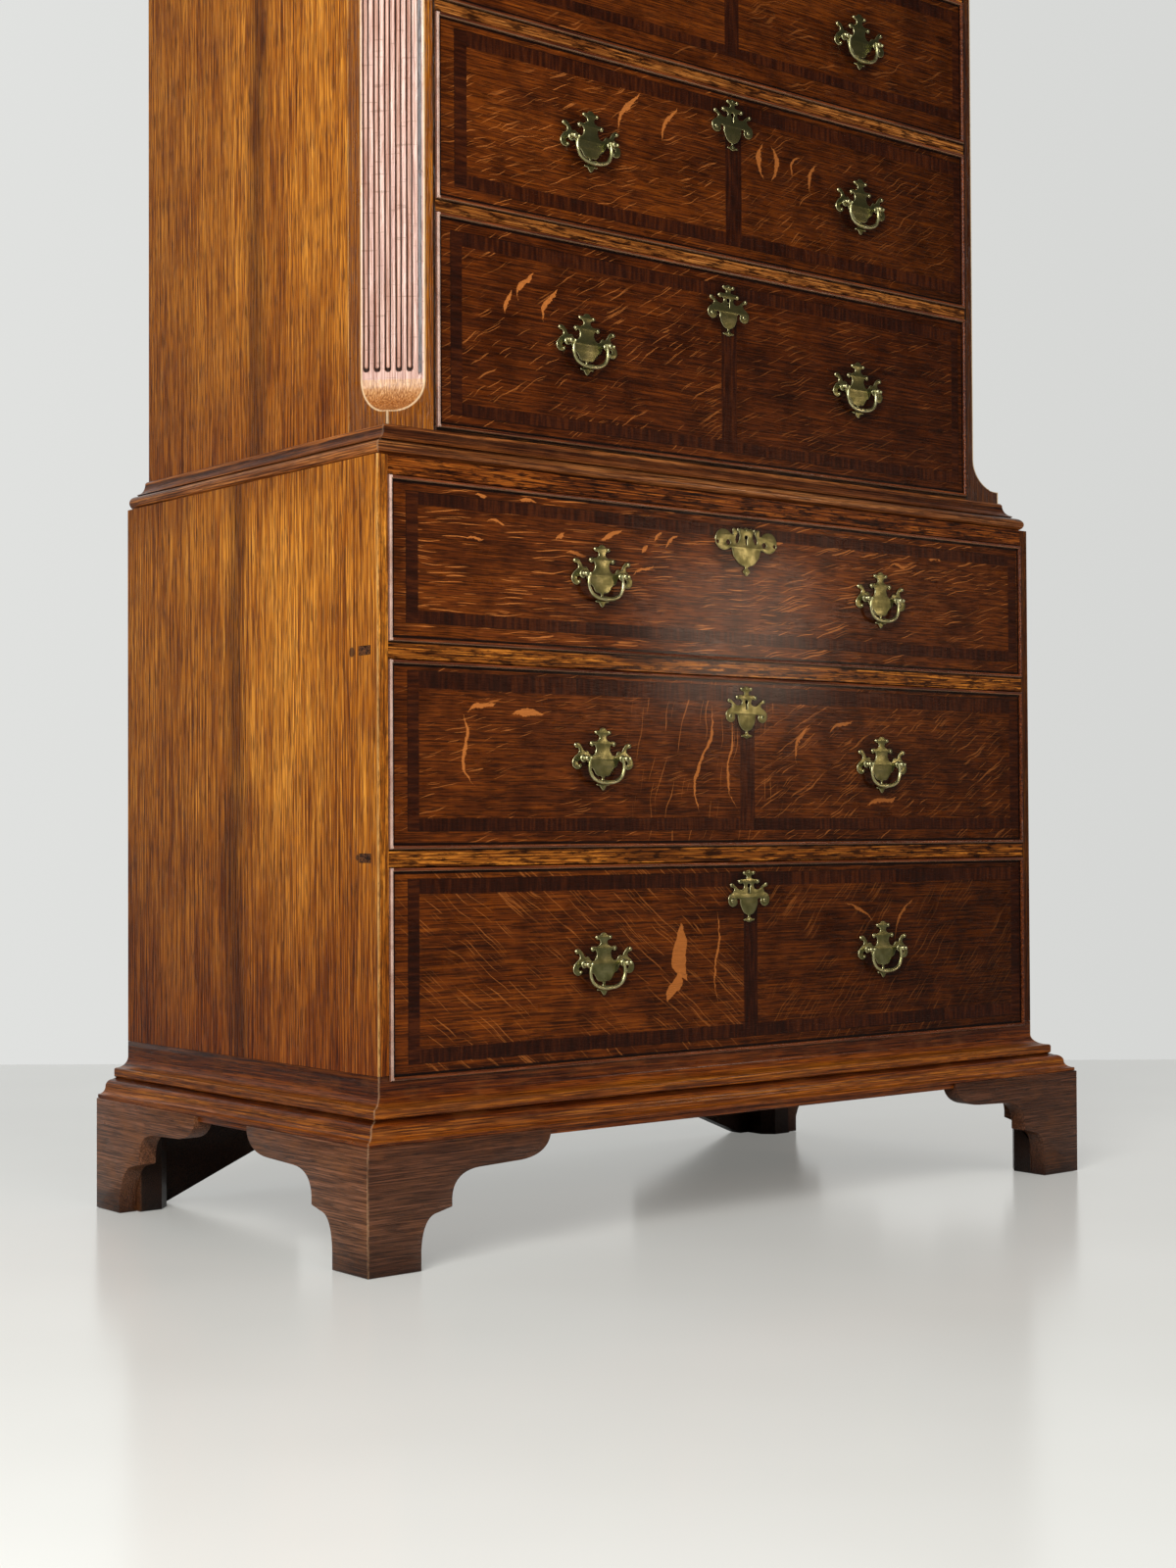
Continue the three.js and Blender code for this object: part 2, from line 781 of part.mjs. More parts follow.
// The pair of guides that keep a drawer of the upper chest straight behind the posts
function guides(floor) {
  const half = upperWidth / 2 - postWidth;
  const guide = block(
    [half, -(upperDepth - postDepth - seat), floor - dustboardThickness / 2],
    [half + guideWidth, -(backThickness + seat), floor + guideHeight],
  );
  return [guide, mirrored(guide)];
}

// Topmost rail, with the upright division between the short drawers and the guide behind it
function dividedRail() {
  const half = divisionWidth / 2;
  const head = shortFloor + upperOpenings[upperOpenings.length - 1] - seat;
  const division = block(
    [-half, -upperDepth, shortFloor - seat],
    [half, -(upperDepth - postDepth), head],
  );
  const guide = block(
    [-half, -(upperDepth - postDepth + overrun), shortFloor - seat],
    [half, -(backThickness + seat), shortFloor + guideHeight],
  );
  return join(upperRail(shortFloor), division, guide);
}

function upperTopBoard() {
  const postHalf = upperWidth / 2 - postWidth - seat;
  const sideHalf = upperWidth / 2 - upperSideThickness - seat;
  const low = upperCaseTop - upperTopThickness;
  const front = block([-postHalf, -upperDepth, low], [postHalf, -(backThickness + seat), upperCaseTop]);
  const rear = block(
    [-sideHalf, -(upperDepth - postDepth - seat), low],
    [sideHalf, -(backThickness + seat), upperCaseTop],
  );
  return join(front, rear);
}

// Bottom board of the upper chest, on a frame that stands on the lower chest
function upperBottomBoard() {
  const postHalf = upperWidth / 2 - postWidth - seat;
  const sideHalf = upperWidth / 2 - upperSideThickness - seat;
  const low = upperFloor - upperBoardThickness;
  const back = -(backThickness + seat);
  const front = block([-postHalf, -upperDepth, low], [postHalf, back, upperFloor]);
  const rear = block([-sideHalf, -(upperDepth - postDepth - seat), low], [sideHalf, back, upperFloor]);
  const frontRail = block(
    [-postHalf, -upperDepth, upperFoot],
    [postHalf, -(upperDepth - underFrameWidth), upperFloor],
  );
  const backRail = block([-sideHalf, back - underFrameWidth, upperFoot], [sideHalf, back, upperFloor]);
  const sideRail = block(
    [sideHalf - underFrameWidth, -(upperDepth - postDepth - seat), upperFoot],
    [sideHalf, back, upperFloor],
  );
  return join(front, rear, frontRail, backRail, sideRail, mirrored(sideRail), ...guides(upperFloor));
}

function upperBack() {
  const half = upperWidth / 2 - upperSideThickness - seat;
  return block([-half, -backThickness, upperFoot], [half, 0, upperCaseTop]);
}

// A drawer: its front with a bead round the edge, sides, back and bottom, and its lock inside. Its
// middle is at x, its opening stands on floor, and the case front is at -depth.
function drawer({ x, width, height, floor, depth, handles, keyShift, keyDrop }) {
  const low = floor + drawerLift;
  const high = low + height;
  const half = width / 2;
  const face = -depth;
  const rear = -(backThickness + drawerBackClearance);
  const inside = face + frontThickness;
  const front = block([x - half, face, low], [x + half, inside, high]);
  const bead = cockbead(x, half, low, high, face);
  const sideTop = high - drawerSideDrop;
  const side = (from) =>
    block([from, inside - overrun, low], [from + drawerSideThickness, rear, sideTop]);
  const back = block(
    [x - half, rear - drawerBackThickness, low + drawerBottomRise],
    [x + half, rear, high - drawerBackDrop],
  );
  const bottom = block(
    [x - half + overrun, inside - overrun, low + drawerBottomRise - drawerBottomThickness],
    [x + half - overrun, rear, low + drawerBottomRise],
  );
  const middle = x + keyShift;
  const lock = block(
    [middle - lockWidth / 2, inside - overrun, sideTop - lockHeight],
    [middle + lockWidth / 2, inside + lockDepth, sideTop],
  );
  const walls = join(front, bead, side(x - half), side(x + half - drawerSideThickness), back, bottom);
  const holes = handles.flatMap(({ at, up }) =>
    [-1, 1].map((end) => crossHole(at + (end * boltSpacing) / 2, up, boltHole, inside)),
  );
  return cut(walls, ...holes).add(lock).subtract(keyhole(middle, high - keyDrop, face));
}

// A round hole through a drawer front, from its face to past its inner side
function crossHole(x, z, radius, inside) {
  const length = frontThickness + 2 * overrun;
  const hole = new THREE.CylinderGeometry(radius, radius, length, boltSides);
  hole.translate(x, inside + overrun - length / 2, z);
  return solid(hole);
}

// A keyhole: round above, with a straight slot below it
function keyhole(x, z, face) {
  const length = frontThickness + lockDepth / 2 + overrun;
  const round = new THREE.CylinderGeometry(keyholeRadius, keyholeRadius, length, keyholeSides);
  round.translate(x, face - overrun + length / 2, z);
  const slot = block(
    [x - keyholeSlotWidth / 2, face - overrun, z - keyholeSlot],
    [x + keyholeSlotWidth / 2, face - overrun + length, z],
  );
  return join(solid(round), slot);
}

// The outline of a handle plate to one side of its middle, from the crown down to the finial, as
// shares of half its width and of its height above and below the line of the bolts
const plateSideShares = [
  [0.12, 0.465],
  [0.22, 0.42],
  [0.17, 0.375],
  [0.08, 0.32],
  [0.12, 0.285],
  [0.32, 0.29],
  [0.44, 0.235],
  [0.34, 0.195],
  [0.27, 0.22],
  [0.19, 0.13],
  [0.35, 0.053],
  [0.55, 0.148],
  [0.66, 0.14],
  [0.78, 0.26],
  [0.92, 0.23],
  [0.8, 0.14],
  [0.83, 0.08],
  [0.98, 0.02],
  [1, -0.08],
  [0.87, -0.147],
  [0.72, -0.09],
  [0.52, -0.05],
  [0.47, -0.125],
  [0.37, -0.13],
  [0.25, -0.24],
  [0.035, -0.288],
  [0.035, -0.37],
  [0.2, -0.395],
  [0.1, -0.44],
];
const plateCrownShare = 0.493;
const plateFinialShare = -0.507;

// A handle plate with its two bolts, which run back through the drawer front and have ball heads
// bored for the bail. Its middle is at x, z, and the drawer's face is at y = face.
function handlePlate(x, z, face) {
  const side = plateSideShares.map(([a, b]) => [(a * plateWidth) / 2, b * plateHeight]);
  const outline = [
    [0, plateCrownShare * plateHeight],
    ...side,
    [0, plateFinialShare * plateHeight],
    ...side.map(([a, b]) => [-a, b]).reverse(),
  ];
  const plate = board(outline, plateThickness, alongX, alongZ, point(x, face - seat, z));
  const bolts = [-1, 1].map((end) => handleBolt(x + (end * boltSpacing) / 2, z, face));
  const bore = new THREE.CylinderGeometry(pinBore, pinBore, 2 * pinReach + boltSpacing, boltSides);
  bore.rotateZ(Math.PI / 2);
  bore.translate(x, face - headStand, z);
  return cut(join(plate, ...bolts), solid(bore));
}

// One bolt, turned about its middle line
function handleBolt(x, z, face) {
  const tail = -(frontThickness + boltTail);
  const profile = [
    [0, tail],
    [boltRadius, tail],
    [boltRadius, headStand - headRadius * headNeckShare],
    [headRadius, headStand - headRadius * headShoulderShare],
    [headRadius, headStand + headRadius * headShoulderShare],
    [0, headStand + headRadius],
  ].map(([r, out]) => new THREE.Vector2(r, out));
  const lathe = new THREE.LatheGeometry(profile, boltSides);
  lathe.rotateX(Math.PI);
  lathe.translate(x, face, z);
  return facingOut(indexed(lathe));
}
const headNeckShare = 0.95;
const headShoulderShare = 0.45;

// The middle line of a bail to one side, as shares of its half width and its drop: it hangs down
// from the bolt head, bellies out a little, and turns in to the middle
const bailShares = [
  [0.915, 0.05],
  [0.985, -0.2],
  [0.98, -0.5],
  [0.8, -0.8],
  [0.45, -0.96],
];

// A bail: a bar that thins towards its ends, with a pin at each end that passes out through a bolt
// head
function bail(x, z, face) {
  const side = bailShares.map(([a, b]) => point(a * bailHalfWidth, 0, b * bailDrop));
  const other = side.map((p) => point(-p.x, 0, p.z)).reverse();
  const line = new THREE.CatmullRomCurve3([...side, point(0, 0, -bailDrop), ...other]);
  const bar = taperedBar(line, bailRadius, bailEndRadius, bailSteps, bailSides);
  const pinStart = bailShares[0][0] * bailHalfWidth;
  const length = pinReach - pinStart;
  const pin = new THREE.CylinderGeometry(pinRadius, pinRadius, length, bailSides);
  pin.rotateZ(Math.PI / 2);
  pin.translate(pinStart + length / 2, 0, 0);
  const rightPin = solid(pin);
  return join(bar, rightPin, mirrored(rightPin)).translate([x, face - headStand, z]);
}

// A round bar along a line that lies in the plane of x and z, thick at its middle
function taperedBar(line, radius, endRadius, steps, sides) {
  const positions = [];
  const index = [];
  for (let i = 0; i <= steps; i++) {
    const t = i / steps;
    const centre = line.getPointAt(t);
    const across = line.getTangentAt(t).cross(alongY);
    const reach = endRadius + (radius - endRadius) * Math.sin(Math.PI * t);
    for (let k = 0; k < sides; k++) {
      const angle = (2 * Math.PI * k) / sides;
      const place = centre.clone().addScaledVector(across, reach * Math.cos(angle));
      positions.push(...place.addScaledVector(alongY, reach * Math.sin(angle)).toArray());
    }
  }
  for (let i = 0; i < steps; i++) {
    for (let k = 0; k < sides; k++) {
      const a = i * sides + k;
      const b = i * sides + ((k + 1) % sides);
      index.push(a, a + sides, b, b, a + sides, b + sides);
    }
  }
  const last = steps * sides;
  for (let k = 1; k + 1 < sides; k++) {
    index.push(0, k, k + 1, last, last + k + 1, last + k);
  }
  const geometry = new THREE.BufferGeometry();
  geometry.setAttribute("position", new THREE.Float32BufferAttribute(positions, 3));
  geometry.setIndex(index);
  return facingOut(geometry);
}

// One named mesh from a solid
const chest = new THREE.Group();
function add(name, body, material) {
  const mesh = body.getMesh();
  const geometry = new THREE.BufferGeometry();
  geometry.setAttribute("position", new THREE.BufferAttribute(mesh.vertProperties, 3));
  geometry.setIndex(new THREE.BufferAttribute(mesh.triVerts, 1));
  geometry.computeVertexNormals();
  const made = new THREE.Mesh(geometry, material);
  made.name = name;
  chest.add(made);
}

// A piece and its mirror image, given the right hand one
function addPair(name, right, material) {
  add(name + "_right", right, material);
  add(name + "_left", mirrored(right), material);
}

// The rails that stand on a row of floors, numbered from the lowest
function addRails(name, floors, make) {
  floors.forEach((floor, i) => add(name + "_" + (i + 1), make(floor), railOak));
}

// The lower chest
addPair("lower_side", lowerSide(), sideOak);
add("lower_top_board", lowerTopBoard(), railOak);
add("lower_bottom_board", lowerBottomBoard(), insideOak);
add("lower_backboard", lowerBack(), insideOak);
addRails("lower_rail", lowerFloors.slice(1), lowerRail);
add("base_moulding", baseMoulding(), mouldingOak);
addPair("front_foot", mirrored(frontFoot()), mouldingOak);
addPair("rear_foot", mirrored(rearFoot()), mouldingOak);
add("waist_moulding", waistMoulding(), mouldingOak);

// The upper chest
addPair("upper_side", upperSide(), sideOak);
addPair("corner_post", cornerPost(), railOak);
add("upper_top_board", upperTopBoard(), insideOak);
add("upper_bottom_board", upperBottomBoard(), insideOak);
add("upper_backboard", upperBack(), insideOak);
addRails("upper_rail", upperFloors.slice(1, -1), upperRail);
add("divided_rail", dividedRail(), railOak);
add("cornice", cornice(), mouldingOak);

// A drawer with its handles, which stand at the given distances from its middle
function addDrawer(name, place, offsets) {
  const up = place.floor + drawerLift + place.height / 2;
  const handles = offsets.map((offset) => ({ at: place.x + offset, up }));
  add(name, drawer({ ...place, handles }), frontOak);
  const ends = offsets.length > 1 ? ["_left", "_right"] : [""];
  handles.forEach(({ at }, i) => {
    add(name + ends[i] + "_plate", handlePlate(at, up, -place.depth), brass);
    add(name + ends[i] + "_bail", bail(at, up, -place.depth), brass);
  });
}

// The lower chest's drawers, numbered from the lowest
const lowerDrawerWidth = lowerWidth - 2 * (lowerSideThickness + drawerSideGap);
lowerDrawerHeights.forEach((height, i) => {
  const key = { keyShift: lowerKeyShifts[i], keyDrop: lowerKeyDrops[i] };
  const place = { x: 0, width: lowerDrawerWidth, height, floor: lowerFloors[i], depth: lowerDepth };
  const offsets = [-1, 1].map((side) => (side * lowerHandleSpacing) / 2 + lowerHandleShifts[i]);
  addDrawer("lower_drawer_" + (i + 1), { ...place, ...key }, offsets);
});

// The upper chest's long drawers, numbered from the lowest
const upperDrawerWidth = upperWidth - 2 * (postWidth + drawerSideGap);
upperDrawerHeights.forEach((height, i) => {
  const key = { keyShift: upperKeyShifts[i], keyDrop: upperKeyDrops[i] };
  const place = { x: 0, width: upperDrawerWidth, height, floor: upperFloors[i], depth: upperDepth };
  const offsets = [-1, 1].map((side) => (side * upperHandleSpacing) / 2 + upperHandleShifts[i]);
  addDrawer("upper_drawer_" + (i + 1), { ...place, ...key }, offsets);
});

// The two short drawers at the top, with one handle each
const shortWidth = (upperWidth - 2 * postWidth - divisionWidth) / 2 - 2 * drawerSideGap;
const shortMiddle = (shortWidth + divisionWidth) / 2 + drawerSideGap;
const shortKey = { keyShift: shortHandleShift, keyDrop: shortKeyDrop };
const shortPlace = { width: shortWidth, height: shortDrawerHeight, floor: shortFloor, depth: upperDepth };
addDrawer("short_drawer_left", { x: -shortMiddle, ...shortPlace, ...shortKey }, [shortHandleShift]);
addDrawer("short_drawer_right", { x: shortMiddle, ...shortPlace, ...shortKey }, [shortHandleShift]);

// The whole, with its origin in the middle of the floor that it covers
chest.position.y = (lowerDepth + baseProjection) / 2;
const group = new THREE.Group();
group.add(chest);

export default group;
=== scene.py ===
"""A Georgian oak chest on chest in its finishes: waxed oak with ray figure, mahogany banding let
into the drawer fronts, fluted canted corners, and old brass handles and keyhole plates."""
import functools
import math

import bmesh
import bpy
import numpy as np
from mathutils import Matrix, Vector


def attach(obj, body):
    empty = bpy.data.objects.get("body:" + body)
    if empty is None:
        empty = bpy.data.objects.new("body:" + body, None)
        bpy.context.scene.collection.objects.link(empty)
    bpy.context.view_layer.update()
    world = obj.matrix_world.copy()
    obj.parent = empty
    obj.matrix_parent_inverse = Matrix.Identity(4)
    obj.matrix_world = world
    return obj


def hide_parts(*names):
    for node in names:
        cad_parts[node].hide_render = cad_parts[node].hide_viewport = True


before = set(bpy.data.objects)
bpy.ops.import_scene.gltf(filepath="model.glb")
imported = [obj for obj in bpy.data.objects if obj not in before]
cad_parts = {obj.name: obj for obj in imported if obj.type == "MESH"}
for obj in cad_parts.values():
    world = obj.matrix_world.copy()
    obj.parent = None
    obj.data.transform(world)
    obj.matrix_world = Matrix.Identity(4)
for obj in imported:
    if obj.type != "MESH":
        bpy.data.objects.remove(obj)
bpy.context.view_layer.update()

# Sizes of the chest in millimetres, from the plane of its backs and from the floor
LOWER_HALF, LOWER_DEPTH, LOWER_SIDE = 500.0, 523.4, 12.7
UPPER_HALF, UPPER_DEPTH = 472.1, 500.6
LOWER_TOP, UPPER_FOOT, UPPER_TOP = 815.7, 816.0, 1674.3
FOOT, FRAME_TOP, DRAWER_FLOOR, REACH = 127.0, 190.0, 184.5, 41.0
SHIFT = (LOWER_DEPTH + REACH) / 2
CLEAR = 0.3

# Half the width of the fronts of the long drawers, and how thick a front is
LOWER_FRONT, UPPER_FRONT, FRONT_THICKNESS = 486.5, 409.9, 20.0

# The corner posts: how wide and deep, the legs of the corner that the cant cuts off, the foot and
# the length of the spoon below the flutes, and where the cant ends
POST_WIDTH, POST_DEPTH, CANT_LEG = 61.4, 70.0, 47.1
SPOON_FOOT, SPOON, CANT_TOP = UPPER_FOOT + 49.5, 38.5, UPPER_TOP - 26.0

# The joint between the two boards of a side, from the backs, and how far it wanders in metres
BOARD_JOINT, JOINT_WANDER = 248.0, 0.05

# The top of each rail under a drawer, and half the height of the painted shade on it, in metres
ARRISES = [(0.4171, 0.0007), (0.6272, 0.0007), (0.8545, 0.0019), (1.0931, 0.0007), (1.3029, 0.0007),
           (1.4967, 0.0007)]

# Where the camera of the photograph stands in metres, and the level direction in which it looks
CAMERA, AHEAD = (-1.7884, -2.1457, 0.4373), (0.6338, 0.7735, 0.0)


# Meshes

def piece(name, parts, finish, body, slot, *instead):
    """One object from parts, each a block of points in millimetres from the plane of the backs and
    the faces over them. Points that meet are merged, faces are turned outwards, and the surface is
    smooth except at edges that turn more than 34 degrees. It stands instead of the named nodes."""
    starts = np.cumsum([0] + [len(points) for points, _ in parts])
    points = np.concatenate([points for points, _ in parts]) + (0, SHIFT, 0)
    faces = [row for (_, blocks), start in zip(parts, starts) for block in blocks
             for row in (np.asarray(block) + start).tolist()]
    mesh = bpy.data.meshes.new(name)
    mesh.from_pydata((points * 0.001).tolist(), [], faces)
    shell = bmesh.new()
    shell.from_mesh(mesh)
    bmesh.ops.remove_doubles(shell, verts=shell.verts, dist=1e-6)
    bmesh.ops.dissolve_degenerate(shell, edges=shell.edges, dist=1e-7)
    bmesh.ops.recalc_face_normals(shell, faces=shell.faces)
    shell.to_mesh(mesh)
    shell.free()
    mesh.shade_smooth()
    mesh.set_sharp_from_angle(angle=math.radians(34))
    mesh.materials.append(finish)
    made = bpy.data.objects.new(name, mesh)
    bpy.context.scene.collection.objects.link(made)
    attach(made, body)
    if instead:
        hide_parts(*instead)


def rows(points):
    """Faces over rows of points, one ring per row: four-sided between neighbouring rings, and one
    flat face on the first and the last ring."""
    count, around = points.shape[:2]
    index = np.arange(count * around).reshape(count, around)
    ahead = np.roll(index, -1, axis=1)
    quads = np.stack([index[:-1], ahead[:-1], ahead[1:], index[1:]], axis=-1).reshape(-1, 4)
    return points.reshape(-1, 3), [quads, index[:1, ::-1], index[-1:]]


def ring_of(points):
    """Faces over rings that follow one another and join up again."""
    count, around = points.shape[:2]
    index = np.arange(count * around).reshape(count, around)
    ahead, beyond = np.roll(index, -1, axis=1), np.roll(index, -1, axis=0)
    quads = np.stack([index, ahead, np.roll(beyond, -1, axis=1), beyond], axis=-1).reshape(-1, 4)
    return points.reshape(-1, 3), [quads]


def arc(centre, radii, start, end, steps):
    """Points of an elliptic arc, its angles in quarter turns."""
    angle = np.linspace(start, end, steps + 1) * math.pi / 2
    return np.column_stack([centre[0] + radii[0] * np.cos(angle), centre[1] + radii[1] * np.sin(angle)])


def bend(a, b, c):
    """Eleven points of a parabola from a to c that leans towards b."""
    t = np.linspace(0, 1, 11)[:, None]
    return (1 - t) ** 2 * np.array(a) + 2 * t * (1 - t) * np.array(b) + t ** 2 * np.array(c)


def mitred(profile, half, depth, front_reach=None):
    """A profile of reach and height carried along the left side, the front and the right side. At a
    mitre both coordinates of the corner go out by the reach, which may be another on the front."""
    out, up = np.asarray(profile, float).T
    x, y = half + out, depth + (out if front_reach is None else front_reach)
    back = np.zeros_like(x)
    ring = [np.stack([sx * x, sy, up], axis=-1)
            for sx, sy in ((-1, back), (-1, -y), (1, -y), (1, back))]
    return rows(np.stack(ring))


def flat_plate(outlines, thickness, bevel, corners=2):
    """A plate cut to one or more closed outlines, the inner ones as holes, with its edges rounded by
    the bevel: a filled curve made a mesh. Its points are across, up, and out from its back."""
    curve = bpy.data.curves.new("outline", "CURVE")
    curve.dimensions, curve.fill_mode = "2D", "BOTH"
    curve.extrude, curve.bevel_depth = thickness / 2 - bevel, bevel
    curve.bevel_resolution, curve.offset = corners, -bevel
    for outline in outlines:
        spline = curve.splines.new("POLY")
        spline.points.add(len(outline) - 1)
        spline.points.foreach_set("co", np.pad(np.asarray(outline, float), ((0, 0), (0, 2))).ravel())
        spline.use_cyclic_u = True
    holder = bpy.data.objects.new("outline", curve)
    mesh = bpy.data.meshes.new_from_object(holder)
    mesh.calc_loop_triangles()
    points = np.empty(len(mesh.vertices) * 3)
    mesh.vertices.foreach_get("co", points)
    triangles = np.empty(len(mesh.loop_triangles) * 3, int)
    mesh.loop_triangles.foreach_get("vertices", triangles)
    bpy.data.objects.remove(holder)
    bpy.data.curves.remove(curve)
    bpy.data.meshes.remove(mesh)
    return points.reshape(-1, 3) + (0, 0, thickness / 2), triangles.reshape(-1, 3)


def box_plate(left, right, low, high, thickness, bevel, corners=2):
    """A plate with a square outline."""
    outline = [(left, low), (right, low), (right, high), (left, high)]
    return flat_plate([outline], thickness, bevel, corners)


RIGHT, UP, FORWARD = (1, 0, 0), (0, 0, 1), (0, -1, 0)


def set_plate(plate, origin, across, up, out):
    """A flat plate stood in the chest: its three coordinates go along across, up and out."""
    points, triangles = plate
    return points @ np.array([across, up, out], float) + origin, [triangles]


def turned(profile, origin, axis=(0, -1, 0), sides=20):
    """A profile of radius and height turned about an axis through the origin."""
    radius, height = np.asarray(profile, float).T
    axis = np.array(axis, float)
    side = np.array([1.0, 0, 0]) if abs(axis[0]) < 0.5 else np.array([0, 1.0, 0])
    other = np.cross(axis, side)
    angle = np.linspace(0, 2 * math.pi, sides, endpoint=False)
    ring = np.cos(angle)[:, None] * side + np.sin(angle)[:, None] * other
    points = radius[:, None, None] * ring + height[:, None, None] * axis + np.asarray(origin, float)
    return rows(points)


def dome(x, z, face, radius, height):
    """A low round stud on a face: half an ellipse turned about the line out from the face."""
    profile = arc((0, 0), (radius, height), 0, 1, 5)
    return turned(np.maximum(profile, 0), (x, face, z), sides=14)


def cubic(a, b, c, d, f):
    """Catmull and Rom's cubic from b to c, with a before them and d after, at the share f."""
    return 0.5 * (2 * b + (c - a) * f + (2 * a - 5 * b + 4 * c - d) * f ** 2
                  + (3 * b - a - 3 * c + d) * f ** 3)


def smoothed(knots):
    """A closed outline through its knots, in four steps of a cubic between each pair."""
    b = np.asarray(knots, float)[:, None]
    a, c, d = (np.roll(b, shift, axis=0) for shift in (1, -1, -2))
    return cubic(a, b, c, d, np.linspace(0, 1, 4, endpoint=False)[None, :, None]).reshape(-1, 2)


def spline(knots, count):
    """A smooth line of points through knots: a cubic between each pair, evenly stepped."""
    padded = np.concatenate([[2 * knots[0] - knots[1]], knots, [2 * knots[-1] - knots[-2]]])
    t = np.linspace(0, len(knots) - 1, count)
    i = np.minimum(t.astype(int), len(knots) - 2)
    return cubic(padded[i], padded[i + 1], padded[i + 2], padded[i + 3], (t - i)[:, None])


def both_sides(top, side, foot):
    """A closed outline from its right half: the top, the side down to the foot, and its mirror."""
    side = np.asarray(side, float)
    return np.concatenate([[top], side, [foot], (side * (-1, 1))[::-1]])


def mirror(part):
    """The same part on the other side of the middle plane."""
    points, faces = part
    return points * (-1, 1, 1), faces


# Finishes

def linear(code):
    """An sRGB hex value as linear red, green and blue, with full alpha."""
    shares = np.array([int(code[i:i + 2], 16) for i in (0, 2, 4)]) / 255
    flat = np.where(shares <= 0.04045, shares / 12.92, ((shares + 0.055) / 1.055) ** 2.4)
    return (*flat.tolist(), 1.0)


def add(tree, kind, inputs=(), out=0, stops=(), **settings):
    """Adds a node, its kind followed by its operation where it has one. Each input, in order or by
    its name, gets a value or the output that feeds it, and stops are the places and colours of a
    ramp. Gives one output, or the node where out is None."""
    kind, *operation = kind.split()
    made = tree.nodes.new("ShaderNode" + kind)
    if operation:
        made.operation = operation[0]
    for name, value in settings.items():
        setattr(made, name, value)
    for name, value in inputs.items() if isinstance(inputs, dict) else enumerate(inputs):
        if isinstance(value, bpy.types.NodeSocket):
            tree.links.new(value, made.inputs[name])
        else:
            made.inputs[name].default_value = value
    for i, (place, code) in enumerate(stops):
        stop = made.color_ramp.elements[i] if i < 2 else made.color_ramp.elements.new(place)
        stop.position, stop.color = place, linear(code)
    return made if out is None else made.outputs[out]


def blank(name):
    """A new material, add for its empty tree, and the place on the object in metres, whole and as
    its three numbers."""
    made = bpy.data.materials.new(name)
    made.use_nodes = True
    made.node_tree.nodes.clear()
    node = functools.partial(add, made.node_tree)
    place = node("TexCoord", out="Object")
    return made, node, place, node("SeparateXYZ", (place,), out=None).outputs[:3]


def surface(node, colour, rough, height, depth=0.0004, **fixed):
    """The shader that ends a tree: its colour, roughness and relief, with the fixed values of its
    other sockets."""
    inputs = {"Base Color": colour, "Roughness": rough, **fixed}
    if height is not None:
        inputs["Normal"] = node("Bump", {"Height": height, "Distance": depth, "Strength": 1.0})
    node("OutputMaterial", {"Surface": node("BsdfPrincipled", inputs)}, out=None)


# Wax in open grain gives back less light than a film of varnish
WAX = {"IOR": 1.5, "Specular IOR Level": 0.1, "Coat Weight": 0.11, "Coat Roughness": 0.13}
POLISH = {"IOR": 1.5, "Specular IOR Level": 0.22, "Coat Weight": 0.16, "Coat Roughness": 0.13}
HANDLED = {"IOR": 1.5, "Specular IOR Level": 0.3, "Coat Weight": 0.18, "Coat Roughness": 0.2}
GLOSS = {"IOR": 1.5, "Specular IOR Level": 0.25, "Coat Weight": 0.18, "Coat Roughness": 0.14}

# The tones of most drawer fronts, the orange of ray flecks under the wax, and the painted shade of the
# gaps beside the drawers
FLAME = [(0.32, "431c06"), (0.68, "8c460e"), (0.5, "692f08")]
FLECK, GAP_SHADE = "cc7836", "0c0604"


def layer(node, place, scale, detail, rough=0.5, shift=(0.0, 0.0, 0.0)):
    """A layer of noise, from the place times a scale along each axis, moved by a shift."""
    moved = node("VectorMath MULTIPLY_ADD", (place, scale, shift))
    return node("TexNoise", {"Vector": moved, "Scale": 1.0, "Detail": detail, "Roughness": rough})


def grain(node, along, seed):
    """Oak seen lengthwise, from a place whose first number runs with the grain: broad tone over
    decimetres, growth bands 4 mm and lines 1.5 mm apart, and open pores 1.3 mm wide and 26 mm
    long. Real pores are a quarter of that width, too fine to show."""
    shift = (seed, seed * 1.7, seed * 0.6)
    broad = layer(node, along, (1.7, 11.0, 11.0), 2.0, 0.5, shift)
    bands = layer(node, along, (4.5, 230.0, 230.0), 3.0, 0.6, shift)
    lines = layer(node, along, (11.0, 660.0, 660.0), 1.0, 0.5, shift)
    pores = node("MapRange", (layer(node, along, (38.0, 760.0, 760.0), 1.0, 0.5, shift), 0.52, 0.61))
    patina = layer(node, along, (26.0, 40.0, 40.0), 4.0, 0.6, shift)
    tone = node("Mix", {0: 0.45, 2: broad, 3: bands})
    return node("Mix", {0: 0.6, 2: tone, 3: lines}), pores, patina


def coats(node, colour, *layers):
    """A colour with coats laid over it in turn. Each has its kind, its own colour as a code or an
    output, and shares whose product is how much of it there is. A share given as a tuple is a value
    taken from between two levels to between two shares."""
    for kind, over, share, *others in layers:
        share = node("MapRange", share) if isinstance(share, tuple) else share
        for other in others:
            other = node("MapRange", other) if isinstance(other, tuple) else other
            share = node("Math MULTIPLY", (share, other))
        over = linear(over) if isinstance(over, str) else over
        colour = node("Mix", {0: share, 6: colour, 7: over}, out=2, data_type="RGBA", blend_type=kind)
    return colour


